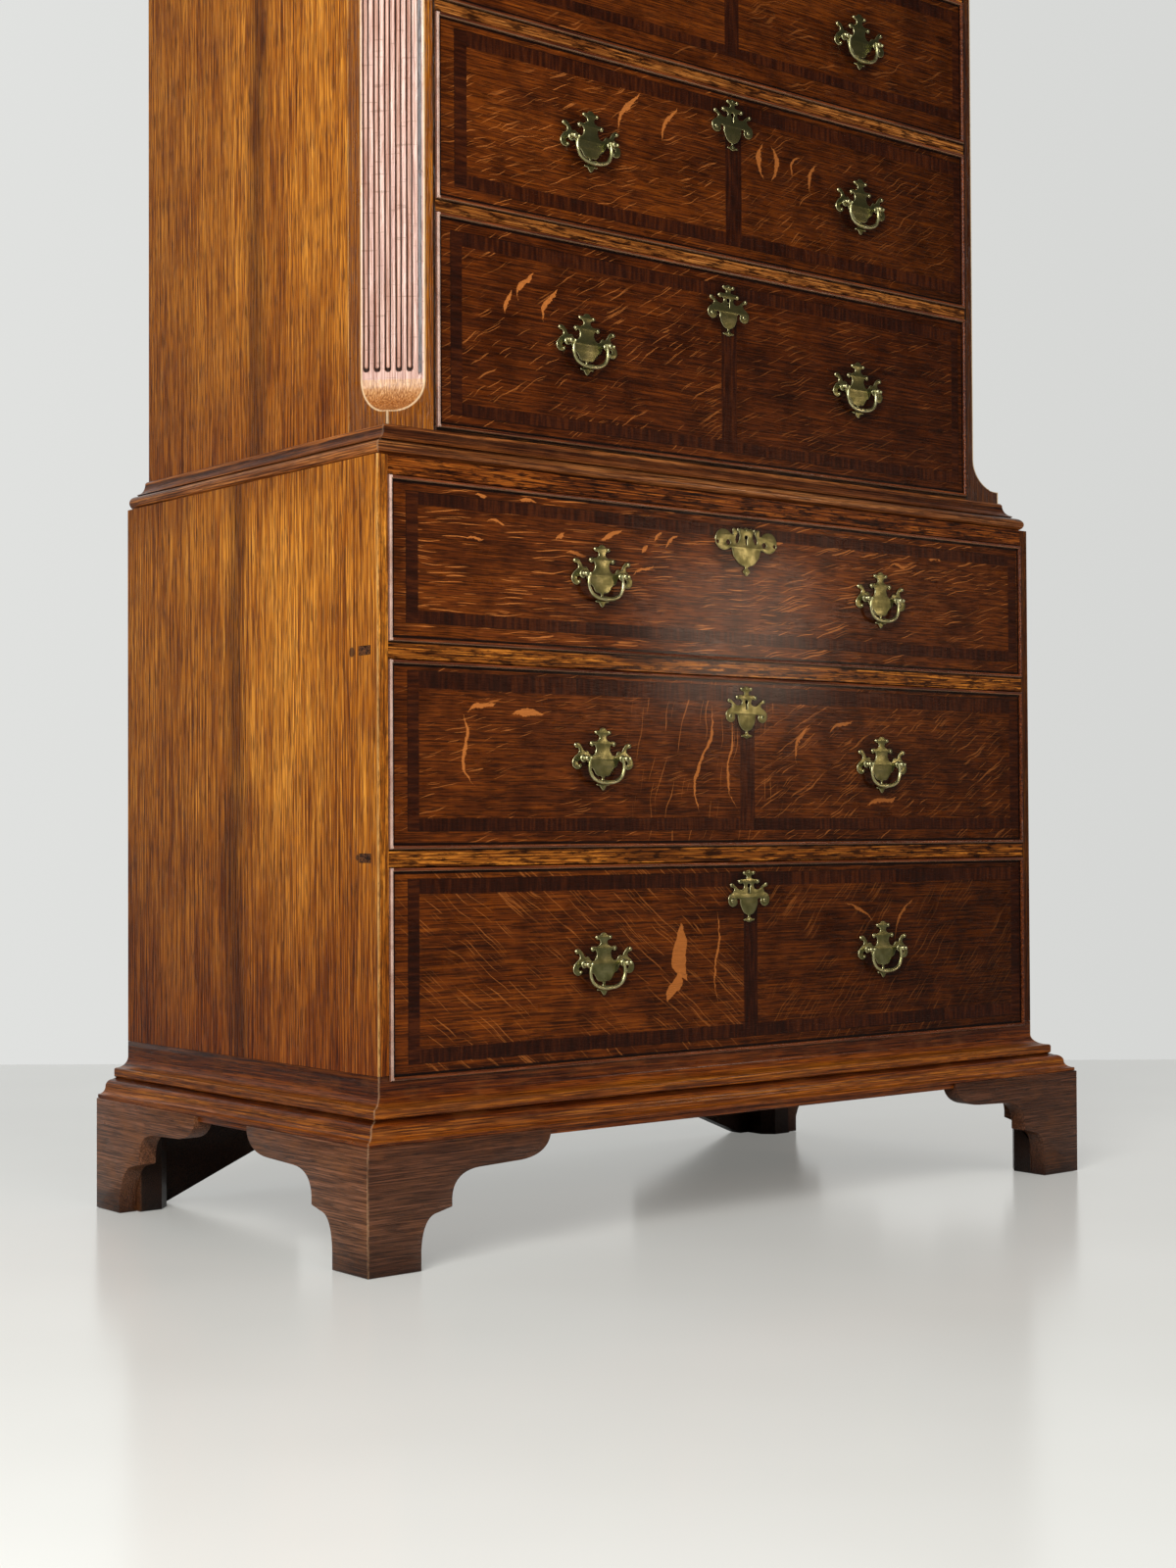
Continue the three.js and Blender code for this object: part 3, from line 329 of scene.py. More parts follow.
def waxed(node, tone, pores, patina, stops, pore_code, pore_share=0.55, shine=0.36):
    """Colour, roughness and relief of waxed oak: a ramp over the tone, with dark wax in the pores
    and a little duller where the wax is thin."""
    colour = coats(node, node("ValToRGB", (tone,), stops=stops), ("MIX", pore_code, pores, pore_share))
    rough = node("MapRange", (patina, 0.3, 0.7, shine - 0.06, shine + 0.1))
    return colour, rough, node("Mix", {0: 0.3, 2: node("Math SUBTRACT", (1.0, pores)), 3: tone})


def near(node, value, centre, width, soft):
    """One where the value is within width of the centre, falling to nothing over soft."""
    off = node("Math ABSOLUTE", (node("Math SUBTRACT", (value, centre)),))
    return node("MapRange", (off, width, width + soft, 1.0, 0.0), interpolation_type="SMOOTHSTEP")


def side_oak(name, low, high, half, depth, seed, pegs=()):
    """Side boards of old golden oak under wax: upright grain, two boards glued where a dark line
    runs down the middle, browner towards the floor and the back edge by painted shade, pale along
    the worn front corner, and speckled on the front edge, with painted shade at the right.
    The tenons are pinned with pegs, each at its height, of its radius and at its depth, whose heads
    are dark."""
    made, node, place, (x, y, z) = blank(name)
    tone, pores, patina = grain(node, node("CombineXYZ", (z, y, x)), seed)
    stops = [(0.39, "6c3409"), (0.61, "f0a03c"), (0.46, "a05612"), (0.54, "ce7e22")]
    colour, rough, height = waxed(node, tone, pores, patina, stops, "431d06", 0.62, 0.34)
    wander = node("TexNoise", {"Vector": place, "Scale": 5.0, "Detail": 3.0})
    joint = near(node, node("Math MULTIPLY_ADD", (wander, JOINT_WANDER, y)),
                 (SHIFT - BOARD_JOINT) / 1000 + JOINT_WANDER / 2, 0.002, 0.028)
    blotch = layer(node, place, (7.0, 7.0, 7.0), 5.0, 0.62)
    front = (SHIFT - depth) / 1000
    beside = node("Math SUBTRACT", (half / 1000, node("Math ABSOLUTE", (x,))))
    inside = node("Math ADD", (beside, node("Math SUBTRACT", (y, front))))
    corner = node("MapRange", (inside, 0.0006, 0.0024, 1.0, 0.0))
    speck = layer(node, place, (420.0, 420.0, 130.0), 4.0, 0.65)
    edge = node("MapRange", (y, front + 0.0003, front + 0.0008, 0.85, 0.0))
    colour = coats(
        node, colour,
        ("MULTIPLY", "5a3216", joint, 0.62),
        # painted shade: browner towards the floor and towards the back edge
        ("MULTIPLY", "94522a", (z, low, low + 0.3, 0.72, 0.0)),
        ("MULTIPLY", "88583a", (y, -0.02, 0.28, 0.0, 0.42)),
        ("MULTIPLY", "8a5230", (blotch, 0.52, 0.72, 0.0, 0.4)),
        ("MULTIPLY", "8a5a34", (z, high - 0.05, high, 0.0, 0.3)),
        ("MIX", "e8b066", corner, (patina, 0.4, 0.6, 0.25, 0.8)),
        ("MIX", "4a2a10", edge, (speck, 0.46, 0.62, 0.0, 0.55)),
        # painted shade on the front edge at the right
        ("MULTIPLY", "543420", edge, node("Math GREATER_THAN", (x, 0.0))))
    for peg_height, radius, peg_depth in pegs:
        middle = (0.0, (SHIFT - peg_depth) / 1000, peg_height / 1000)
        off = node("VectorMath DISTANCE", (node("CombineXYZ", (0.0, y, z)), middle), out=1)
        spot = node("MapRange", (off, radius / 1000, (radius + 1) / 1000, 0.8, 0.0))
        colour = coats(node, colour, ("MIX", "3a2416", spot))
    surface(node, colour, rough, height, **WAX)
    return made


def moulding_oak(name, half, depth, stops, pore_code, seed, low, high, crest, side_dark, front_dark=0.0,
                 hidden=0.0):
    """Moulded oak, its grain along each run as the real runs are planed from long strips. By height
    the hollows are darker, partly dirt and partly painted shade, and the noses carry painted
    highlights; the side runs are browner, and the mitred corners are worn pale. What lies well
    behind both faces is nearly black with painted shade by the hidden share."""
    made, node, place, (x, y, z) = blank(name)
    beside = node("Math SUBTRACT", (node("Math ABSOLUTE", (x,)), half / 1000))
    before = node("Math SUBTRACT", ((SHIFT - depth) / 1000, y))
    side = node("Math GREATER_THAN", (beside, before))
    along = node("Mix", {0: side, 4: place, 5: node("CombineXYZ", (y, x, z))}, out=1,
                 data_type="VECTOR")
    tone, pores, patina = grain(node, along, seed)
    colour, rough, height = waxed(node, tone, pores, patina, stops, pore_code, 0.5, 0.33)
    rise = node("MapRange", (z, low, high))
    inner = node("MapRange", (node("Math MAXIMUM", (beside, before)), 0.016, 0.0185, hidden, 0.0))
    mitre = near(node, node("Math SUBTRACT", (beside, before)), 0.0, 0.0004, 0.0016)
    colour = coats(
        node, colour,
        # painted highlight and painted shade over the profile's height, with some dirt in the hollows
        ("MULTIPLY", node("ValToRGB", (rise,), stops=crest), 1.0),
        ("MIX", "a2622c", (patina, 0.5, 0.75, 0.0, 0.28)),
        ("MULTIPLY", "6c443a", (side, 0.0, 1.0, front_dark, side_dark)),
        # painted shade, nearly black, on what lies well behind both faces
        ("MULTIPLY", "34261e", inner),
        ("MIX", "b8906c", mitre, (patina, 0.4, 0.6, 0.15, 0.7)))
    surface(node, colour, rough, height, **POLISH)
    return made


def rail_oak(name, seed, stops):
    """Front rails and case edges of red brown oak, grain along the rail, with old wax in dark
    patches, and darker at the top of the lower chest. The arris under each drawer is black with
    painted shade of the gap above it. Outside the side boards only the end of a through tenon
    shows, which is end grain and dark with dirt, and inside the chest the rail is bare."""
    made, node, place, (x, y, z) = blank(name)
    colour, rough, height = waxed(node, *grain(node, place, seed), stops, "2c140a", 0.5, 0.34)
    outside = node("Math GREATER_THAN", (node("Math ABSOLUTE", (x,)), (LOWER_HALF - 1.5) / 1000))
    end = node("TexNoise", {"Vector": place, "Scale": 420.0, "Detail": 3.0})
    end = node("ValToRGB", (end,), stops=[(0.36, "160c08"), (0.62, "7a4a28")])
    patch = layer(node, place, (34.0, 100.0, 260.0), 4.0, 0.65, (seed, seed, seed))
    colour = coats(
        node, colour,
        ("MIX", end, outside),
        ("MULTIPLY", "d8c4bc", near(node, z, (LOWER_TOP - 5.7) / 1000, 0.02, 0.004)),
        ("MULTIPLY", "40261a", (patch, 0.5, 0.58, 0.0, 0.88)))
    # painted shade: a black line at the top of each rail under a drawer, for the gap there
    for top, width in ARRISES:
        colour = coats(node, colour, ("MIX", GAP_SHADE, near(node, z, top - width, width, 0.0005), 0.9))
    colour = coats(node, colour, ("MIX", "8a6238", (y, -0.18, -0.16)))
    surface(node, colour, rough, height, **WAX)
    return made


def post_oak(name, seed):
    """Corner posts of golden oak: plain on their square faces, and on the cant pale, partly polish by
    hands and partly painted highlight, with the flutes dark, partly dirt and partly painted shade,
    and short dark cracks across them. The right post is darker by painted shade, as the right end
    of the whole front is, and painted shade of a gap is drawn beside the drawers. The cant is where
    half an ellipse about each end, one from its middle line to its edge and from the flutes to its
    tip, holds the place."""
    made, node, _, (x, y, z) = blank(name)
    tone, pores, patina = grain(node, node("CombineXYZ", (z, y, x)), seed)
    stops = [(0.38, "663004"), (0.62, "c4781c"), (0.5, "96520e")]
    colour, rough, height = waxed(node, tone, pores, patina, stops, "3f1c08", 0.55, 0.3)
    half = node("Math ABSOLUTE", (x,))
    along = node("Math SUBTRACT", (node("Math ADD", (half, y)),
                                   (SHIFT + UPPER_HALF - UPPER_DEPTH) / 1000))
    across = node("Math MULTIPLY", (along, 1000 / CANT_LEG))
    under = node("MapRange", (z, SPOON_FOOT / 1000, (SPOON_FOOT + SPOON) / 1000, 1.0, 0.0), clamp=False)
    over = node("MapRange", (z, (CANT_TOP - SPOON) / 1000, CANT_TOP / 1000), clamp=False)
    ends = node("Math MAXIMUM", (node("Math MAXIMUM", (under, over)), 0.0))
    spoon = node("VectorMath LENGTH", (node("CombineXYZ", (across, ends)),), out=1)
    # pale cant colour: partly polish, partly painted highlight
    pale = node("ValToRGB", (tone,), stops=[(0.38, "a06a54"), (0.62, "e4bca8"), (0.5, "cc9a84")])
    bowl = node("ValToRGB", (tone,), stops=[(0.38, "a06a3c"), (0.62, "ecbc88"), (0.5, "cc945e")])
    bowl = coats(node, bowl, ("MULTIPLY", "d8b890", (ends, 0.15, 0.7)))
    cant_plane = (UPPER_HALF + UPPER_DEPTH - CANT_LEG - SHIFT) / 1000
    sunk = node("Math SUBTRACT", (node("Math SUBTRACT", (half, y)), cant_plane))
    crack = node("CombineXYZ", (node("Math MULTIPLY", (z, 330.0)), node("Math MULTIPLY", (half, 60.0)),
                                seed))
    crack = node("TexNoise", {"Vector": crack, "Scale": 1.0, "Detail": 1.0})
    pale = coats(
        node, pale,
        ("MIX", bowl, (ends, 0.0, 0.04)),
        # flutes dark: partly dirt, partly painted shade
        ("MIX", "190c08", (sunk, -0.0022, -0.0005, 0.92, 0.0), (ends, 0.0, 0.02, 1.0, 0.0)),
        ("MIX", "6a3a20", (crack, 0.64, 0.72, 0.0, 0.4)))
    tip = node("MapRange", (node("Math ABSOLUTE", (across,)), 0.02, 0.05, 1.0, 0.0))
    tip = node("Math MULTIPLY", (tip, node("MapRange", (ends, 0.98, 1.02))))
    rim = node("Math MAXIMUM", (near(node, spoon, 1.0, 0.012, 0.03), tip))
    colour = coats(
        node, colour,
        # painted shade on the right post
        ("MULTIPLY", "5c3c28", node("Math GREATER_THAN", (x, 0.0)), 0.85),
        # painted shade of the gap beside the drawers
        ("MIX", GAP_SHADE, near(node, half, (UPPER_FRONT + 2.5) / 1000, 0.0012, 0.0006), 0.92),
        ("MIX", pale, (spoon, 0.975, 0.995, 1.0, 0.0)),
        ("MIX", "f2cfa0", rim, 0.75))
    surface(node, colour, rough, height, **HANDLED)
    return made


def bare_oak(name, order, across, seed):
    """Bare oak and pine inside and at the back: dry, pale brown and matt, in boards 152 mm wide
    with a dark joint between them. The order puts the number that runs with the grain first, and
    across is the number that runs over the boards."""
    made, node, _, axes = blank(name)
    oak = grain(node, node("CombineXYZ", [axes[k] for k in order]), seed)
    stops = [(0.34, "6f4c2c"), (0.66, "bb9260"), (0.5, "98703f")]
    colour, rough, height = waxed(node, *oak, stops, "4a321c", 0.6, 0.68)
    step = node("Math MULTIPLY", (axes[across], 1 / 0.152))
    off = node("Math ABSOLUTE", (node("Math SUBTRACT", (node("Math FRACT", (step,)), 0.5)),))
    joint = node("MapRange", (off, 0.488, 0.496))
    board = node("TexWhiteNoise", {"W": node("Math FLOOR", (step,))}, noise_dimensions="1D")
    colour = coats(
        node, colour,
        ("MULTIPLY", "8a6844", (board, 0.0, 1.0, 0.0, 0.45)),
        ("MIX", "120b07", joint))
    surface(node, colour, rough, node("Math SUBTRACT", (height, joint)), IOR=1.5)
    return made


def beyond(node, value, start, end):
    """How far a value in metres is beyond a span in millimetres, less than nothing inside it."""
    off = node("Math ABSOLUTE", (node("Math SUBTRACT", (value, (start + end) / 2000)),))
    return node("Math SUBTRACT", (off, (end - start) / 2000))


def box_distance(node, x, z, left, right, low, high):
    """How far a place is outside a rectangle, less than nothing inside it."""
    return node("Math MAXIMUM", (beyond(node, x, left, right), beyond(node, z, low, high)))


def below(node, value):
    """One where the value is less than nothing, with an edge half a millimetre soft."""
    return node("MapRange", (value, -0.0003, 0.0003, 1.0, 0.0))


def turned_pair(node, x, z, angle):
    """Two numbers turned by an angle in degrees: along the turned line, and across it."""
    c, s = math.cos(math.radians(angle)), math.sin(math.radians(angle))
    return [node("Math MULTIPLY_ADD", (x, a, node("Math MULTIPLY", (z, b))))
            for a, b in ((c, s), (-s, c))]


def ray_flecks(node, x, z, figure, seed):
    """The shares of ray flecks of quartered oak in one direction: noise drawn out along the fleck,
    cut off so that only its crests stay, and pushed about so that the flecks wave and curl, then
    the patches in which they lie, the span of the front that has them, and their strength."""
    angle, length, width, wave, cut, strength, start, end = figure
    u, v = turned_pair(node, x, z, angle)
    flat = node("CombineXYZ", (u, v, seed))
    push = node("TexNoise", {"Vector": flat, "Scale": 1000 / (length * 0.75), "Detail": 1.0})
    v = node("Math MULTIPLY_ADD", (push, wave / 500, v))
    spread = node("CombineXYZ", (node("Math MULTIPLY", (u, 1000 / length)),
                                 node("Math MULTIPLY", (v, 1000 / width)), seed * 3.1))
    crest = node("TexNoise", {"Vector": spread, "Scale": 1.0, "Detail": 1.2, "Roughness": 0.45})
    crest = node("MapRange", (crest, cut, cut + 0.022), interpolation_type="SMOOTHSTEP")
    patch = node("TexNoise", {"Vector": flat, "Scale": 14.0, "Detail": 1.0})
    patch = node("MapRange", (patch, 0.38, 0.52))
    span = near(node, x, (start + end) / 2000, (end - start) / 2000 - 0.03, 0.06)
    return crest, patch, span, strength


def stroke(node, x, z, line, ragged):
    """One large fleck: a band about a curve that crosses its length as a bow and a wave, thinning to
    nothing at both ends, its edges pushed about by ragged."""
    cx, cz, angle, length, width, bow, wave = line
    u, v = turned_pair(node, node("Math SUBTRACT", (x, cx / 1000)),
                       node("Math SUBTRACT", (z, cz / 1000)), angle)
    t = node("Math MULTIPLY", (u, 2000 / length))
    square = node("Math MULTIPLY", (t, t))
    sway = node("Math SINE", (node("Math MULTIPLY", (t, math.pi)),))
    v = node("Math MULTIPLY_ADD", (square, bow / 1000, v))
    v = node("Math ADD", (node("Math MULTIPLY_ADD", (sway, wave / 1000, v)), ragged))
    reach = node("Math MULTIPLY", (node("Math SUBTRACT", (1.0, square)), width / 2000))
    over = node("Math SUBTRACT", (reach, node("Math ABSOLUTE", (v,))))
    over = node("Math MULTIPLY_ADD", (ragged, 0.3, over))
    return node("MapRange", (over, -0.0001, 0.0006))


def banded_front(fittings, seed, name, face, middle, half, low, high, outer, inner, flecks, strokes,
                 dark, centre=None, tones=FLAME, centre_share=1.0, **others):
    """Drawer front of quartered oak, waxed dark red brown, with a band of mahogany let in flush. The
    band is cut in short lengths across its grain, so it is darker and changes from length to
    length. Round the brass fittings it is darker, partly wax and dirt and partly painted shade,
    and behind the front the drawer is bare."""
    made, node, place, (x, y, z) = blank("waxed_quartered_oak_with_mahogany_band_" + name)
    tone, pores, patina = grain(node, place, seed)
    colour, rough, height = waxed(node, tone, pores, patina, tones, "1d0a03", 0.6, 0.3)
    mottle = layer(node, place, (24.0, 24.0, 24.0), 5.0, 0.6)
    colour = coats(node, colour, ("MULTIPLY", "5c4030", (mottle, 0.42, 0.62, 0.0, 0.5)))
    for i, figure in enumerate(flecks):
        colour = coats(node, colour, ("MIX", FLECK, *ray_flecks(node, x, z, figure, seed + 4.3 * i)))
    ragged = layer(node, place, (85.0, 85.0, 85.0), 4.0, 0.65)
    ragged = node("MapRange", (ragged, 0.25, 0.75, -0.0025, 0.0025))
    for line in strokes:
        colour = coats(node, colour, ("MIX", FLECK, stroke(node, x, z, line, ragged), 0.85))
    # painted shade: the front darker towards its right end, by the dark share
    shade = node("MapRange", (x, (middle - 0.5 * half) / 1000, (middle + half) / 1000, 0.0, dark))
    ripple = node("TexNoise", {"Vector": place, "Scale": 160.0, "Detail": 2.0})
    ripple = node("MapRange", (ripple, 0.0, 1.0, -0.0006, 0.0006))
    to_outer, to_inner = (node("Math ADD", (box_distance(node, x, z, *box), ripple))
                          for box in (outer, inner))
    outside = node("Math SUBTRACT", (1.0, below(node, to_inner)))
    in_band = node("Math MULTIPLY", (below(node, to_outer), outside))
    colour = coats(node, colour, ("MULTIPLY", "1c120c", shade))
    if centre:
        in_centre = node("Math MULTIPLY", (below(node, box_distance(node, x, z, *centre)),
                                           centre_share))
        in_band = node("Math MAXIMUM", (in_band, in_centre))
    at_end = node("Math GREATER_THAN", (beyond(node, x, *inner[:2]), 0.0))
    across = node("Mix", {0: at_end, 4: node("CombineXYZ", (z, x)), 5: node("CombineXYZ", (x, z))},
                  out=1, data_type="VECTOR")
    short = layer(node, across, (30.0, 260.0, 1.0), 3.0, 0.5, (seed, seed, seed))
    lengths = node("Math MULTIPLY_ADD", (node("SeparateXYZ", (across,), out=1), 11.5, seed))
    lengths = node("TexWhiteNoise", {"W": node("Math FLOOR", (lengths,))}, noise_dimensions="1D")
    veneer = node("Mix", {0: 0.16, 2: short, 3: lengths})
    veneer = node("ValToRGB", (veneer,), stops=[(0.32, "240d05"), (0.66, "4c2109"), (0.5, "341407")])
    colour = coats(node, colour, ("MIX", veneer, in_band))
    # darker round the fittings: partly wax and dirt, partly painted shade
    for cx, cz, rx, rz in fittings:
        off = node("CombineXYZ", (node("Math MULTIPLY_ADD", (x, 1000 / rx, -cx / rx)),
                                  node("Math MULTIPLY_ADD", (z, 1000 / rz, -cz / rz))))
        off = node("VectorMath LENGTH", (off,), out=1)
        dirt = node("MapRange", (off, 0.6, 1.25, 0.75, 0.0), interpolation_type="SMOOTHSTEP")
        colour = coats(node, colour, ("MULTIPLY", "5a4034", dirt))
    rim = box_distance(node, x, z, middle - half, middle + half, low, high)
    bead = node("ValToRGB", (patina,), stops=[(0.35, "3a1408"), (0.65, "7a3816")])
    behind = node("Math GREATER_THAN", (y, (face + SHIFT + FRONT_THICKNESS - 0.5) / 1000))
    bare = node("ValToRGB", (tone,), stops=[(0.34, "7a5836"), (0.66, "b8905c")])
    colour = coats(
        node, colour,
        ("MIX", "120806", near(node, to_outer, 0.0, 0.0002, 0.0007), 0.6),
        ("MIX", bead, (rim, -0.004, -0.0036)),
        ("MIX", "0e0605", near(node, rim, -0.005, 0.001, 0.0008), 0.95),
        ("MIX", coats(node, bare, ("MIX", "4a321c", pores, 0.4)), behind))
    surface(node, colour, node("Mix", {0: behind, 2: rough, 3: 0.7}), height, **WAX)
    return made


def polished_bead(name, seed):
    """Cockbead of red brown mahogany, rubbed glossy, so that its round nose shows as a bright line
    where it turns to the light. The strips at the left ends carry a pale painted highlight, and the
    undersides a lighter grey brown painted highlight."""
    made, node, place, (x, _, z) = blank(name)
    tone, pores, patina = grain(node, place, seed)
    stops = [(0.38, "44190a"), (0.62, "8e481e"), (0.5, "683010")]
    colour, rough, height = waxed(node, tone, pores, patina, stops, "1c0a05", 0.4, 0.26)
    upper = node("Math GREATER_THAN", (z, UPPER_FOOT / 1000))
    left_end = node("MapRange", (upper, 0.0, 1.0, (1.8 - LOWER_FRONT) / 1000,
                                 (1.8 - UPPER_FRONT) / 1000))
    strip = near(node, node("Math SUBTRACT", (x, left_end)), 0.0, 0.0013, 0.0008)
    facing = node("SeparateXYZ", (node("NewGeometry", out="Normal"),), out=2)
    colour = coats(
        node, colour,
        # painted highlight: the strips at the left ends pale
        ("MIX", "dcb8a4", strip, (patina, 0.35, 0.65, 0.5, 0.95)),
        # painted highlight: the undersides lighter grey brown
        ("MIX", "a07c5c", (facing, -0.2, -0.6, 0.0, 0.6)))
    surface(node, colour, rough, height, **GLOSS)
    return made


def old_brass(name, stops, rubbed):
    """Cast brass under old lacquer: olive where a flat face is dull, in clouds a centimetre wide,
    pale yellow by the rubbed share where an edge turns from the face, partly rubbed wear and
    partly painted highlight, with a few dark pits."""
    made, node, place, _ = blank(name)
    cloud = node("TexNoise", {"Vector": place, "Scale": 90.0, "Detail": 2.0})
    pits = node("TexNoise", {"Vector": place, "Scale": 800.0, "Detail": 1.0})
    colour = node("ValToRGB", (cloud,), stops=stops)
    faced = node("SeparateXYZ", (node("NewGeometry", out="Normal"),), out=1)
    rough = node("MapRange", (cloud, 0.3, 0.7, 0.4, 0.28))
    colour = coats(
        node, colour,
        ("MIX", "3c351f", (pits, 0.66, 0.72, 0.0, 0.4)),
        # pale edges: partly rubbed wear, partly painted highlight
        ("MIX", "e6dca6", (faced, -0.95, -0.7, 0.0, rubbed)))
    surface(node, colour, rough, pits, 0.00004, Metallic=1.0)
    return made


GOLD_LOWER = side_oak("waxed_golden_oak_lower_side", 0.19, 0.8157, LOWER_HALF, LOWER_DEPTH, 1.3,
                      [(618, 4.5, 477), (409, 2.5, 486)])
GOLD_UPPER = side_oak("waxed_golden_oak_upper_side", 0.75, 1.6743, UPPER_HALF, UPPER_DEPTH - POST_DEPTH,
                      7.9)
RAIL = rail_oak("waxed_red_brown_oak_rail", 3.1, [(0.4, "3a1a06"), (0.6, "d8842c"), (0.5, "8c4a12")])
PALE_RAIL = rail_oak("waxed_rubbed_oak_rail", 5.9, [(0.4, "6c3814"), (0.6, "c8803c"), (0.5, "98581f")])
BARE_UPRIGHT = bare_oak("bare_oak_backboards", (2, 0, 1), 0, 5.2)
BARE_FLAT = bare_oak("bare_oak_boards", (0, 1, 2), 1, 6.4)
# In the mouldings and feet below, the ramp after the two heights is painted highlight and painted shade
# over the profile
BASE = moulding_oak(
    "waxed_dark_oak_base_moulding", LOWER_HALF, LOWER_DEPTH,
    [(0.38, "5c2a0c"), (0.62, "cc7a1e"), (0.5, "945016")], "1c0d07", 2.2, 0.127, 0.19,
    [(0.0, "c8b0a4"), (1.0, "94807a"), (0.08, "f8e8d8"), (0.2, "ffffff"), (0.29, "c8a898"),
     (0.335, "7c6054"), (0.37, "f0dccc"), (0.52, "ffffff"), (0.6, "d4b8a8"), (0.72, "ac9084")], 0.27,
    0.15)
WAIST = moulding_oak(
    "waxed_dark_oak_waist_moulding", LOWER_HALF, LOWER_DEPTH,
    [(0.38, "5a2e12"), (0.62, "dc9450"), (0.5, "a0602c")], "1c0d07", 4.7, 0.8157, 0.851,
    [(0.0, "5c4a40"), (1.0, "fff0e0"), (0.07, "fff0e4"), (0.37, "ffffff"), (0.44, "6c5648"),
     (0.475, "30241c"), (0.53, "f0dccc"), (0.7, "b49c8c"), (0.84, "786456"), (0.93, "fff0e0")], 0.0,
    0.5)
CORNICE = moulding_oak(
    "waxed_dark_oak_cornice", UPPER_HALF, UPPER_DEPTH,
    [(0.34, "4a220c"), (0.66, "9c5820"), (0.5, "703a14")], "1c0d07", 8.8, 1.6653, 1.7463,
    [(0.0, "ffffff"), (1.0, "fff0e0"), (0.15, "8a6a58"), (0.4, "a08070"), (0.7, "ffffff")], 0.3)
FOOT_OAK = moulding_oak(
    "waxed_dark_oak_feet", LOWER_HALF, LOWER_DEPTH,
    [(0.36, "482a1c"), (0.64, "98664a"), (0.5, "70482f")], "1c100a", 9.6, 0.0, 0.127,
    [(0.0, "8c8078"), (1.0, "f0e4dc"), (0.06, "b0a49c"), (0.3, "ffffff")], 0.0, 0.45, 0.85)
POST_OAK = post_oak("waxed_oak_corner_post", 11.2)
BEAD = polished_bead("polished_mahogany_cockbead", 6.1)
BRASS = old_brass("old_lacquered_brass", [(0.35, "6e6e46"), (0.65, "949366"), (0.5, "808054")], 0.85)
RUBBED_BRASS = old_brass("old_rubbed_brass", [(0.3, "a8a46e"), (0.7, "dcd8a8"), (0.5, "c6c18c")], 0.0)

FINISHES = {
    "lower_side_right": GOLD_LOWER, "lower_side_left": GOLD_LOWER,
    "upper_side_right": GOLD_UPPER, "upper_side_left": GOLD_UPPER,
    "lower_top_board": RAIL, "lower_rail_1": RAIL, "lower_rail_2": RAIL,
    "upper_rail_1": PALE_RAIL, "upper_rail_2": PALE_RAIL, "divided_rail": RAIL,
    "lower_bottom_board": BARE_FLAT, "lower_backboard": BARE_UPRIGHT,
    "upper_top_board": BARE_FLAT, "upper_bottom_board": RAIL, "upper_backboard": BARE_UPRIGHT,
}


def finish_node(node, finish):
    """Gives a CAD node one finish."""
    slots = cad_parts[node].data.materials
    slots.clear()
    slots.append(finish)


for node, finish in FINISHES.items():
    finish_node(node, finish)


# Mouldings

# How long and how thick a foot bracket is, and how far the strip between the feet hangs down
BRACKET, BRACKET_THICKNESS, STRIP = 228.0, 22.0, 6.5


def base_moulding():
    """The base frame: a flat fascia, a hollow, a bold band and an ogee that spreads to the foot,
    with a narrow strip below it between the feet."""
    out, up = (lambda share: share * REACH), (lambda share: FOOT + share * (FRAME_TOP - FOOT))
    cave, band, ogee, mid, lip = map(out, (0.38, 0.44, 0.51, 0.72, 0.95))
    cave_top, band_top, band_foot = map(up, (0.722, 0.524, 0.349))
    ogee_top, ogee_mid, lip_top = map(up, (0.317, 0.19, 0.063))
    soft = 2.5
    profile = np.concatenate([
        [(-LOWER_SIDE, FOOT), (lip, FOOT), (lip, lip_top)],
        arc((lip, ogee_mid), (lip - mid, ogee_mid - lip_top), -1, -2, 12),
        arc((ogee, ogee_mid), (mid - ogee, ogee_top - ogee_mid), 0, 1, 12)[1:],
        arc((band - soft, band_foot + soft), (soft, soft), -1, 0, 5),
        arc((band - soft, band_top - soft), (soft, soft), 0, 1, 5),
        arc((cave, cave_top), (cave, cave_top - band_top), -1, -2, 12)[1:],
        [(0, DRAWER_FLOOR), (-LOWER_SIDE, DRAWER_FLOOR)]])
    run = mitred(profile, LOWER_HALF, LOWER_DEPTH)
    rim = box_plate(-LOWER_SIDE, 0, DRAWER_FLOOR, FRAME_TOP, LOWER_DEPTH, 0.1, 1)
    left = set_plate(rim, (-LOWER_HALF, 0, 0), (-1, 0, 0), UP, FORWARD)
    back = BRACKET_THICKNESS + 4.0 - REACH
    low, high, gap = FOOT - STRIP, FOOT + 1.0, BRACKET + CLEAR
    half, span = LOWER_HALF + REACH - gap, LOWER_DEPTH + REACH - gap
    front = box_plate(-half, half, low, high, BRACKET_THICKNESS, 0.6)
    side = box_plate(gap, span, low, high, BRACKET_THICKNESS, 0.6)
    front = set_plate(front, (0, back - LOWER_DEPTH, 0), RIGHT, UP, FORWARD)
    side = set_plate(side, (back - LOWER_HALF, 0, 0), FORWARD, UP, (-1, 0, 0))
    piece("base_frame_and_moulding", [run, left, mirror(left), front, side, mirror(side)], BASE, "case",
          "moulding_oak", "base_moulding")


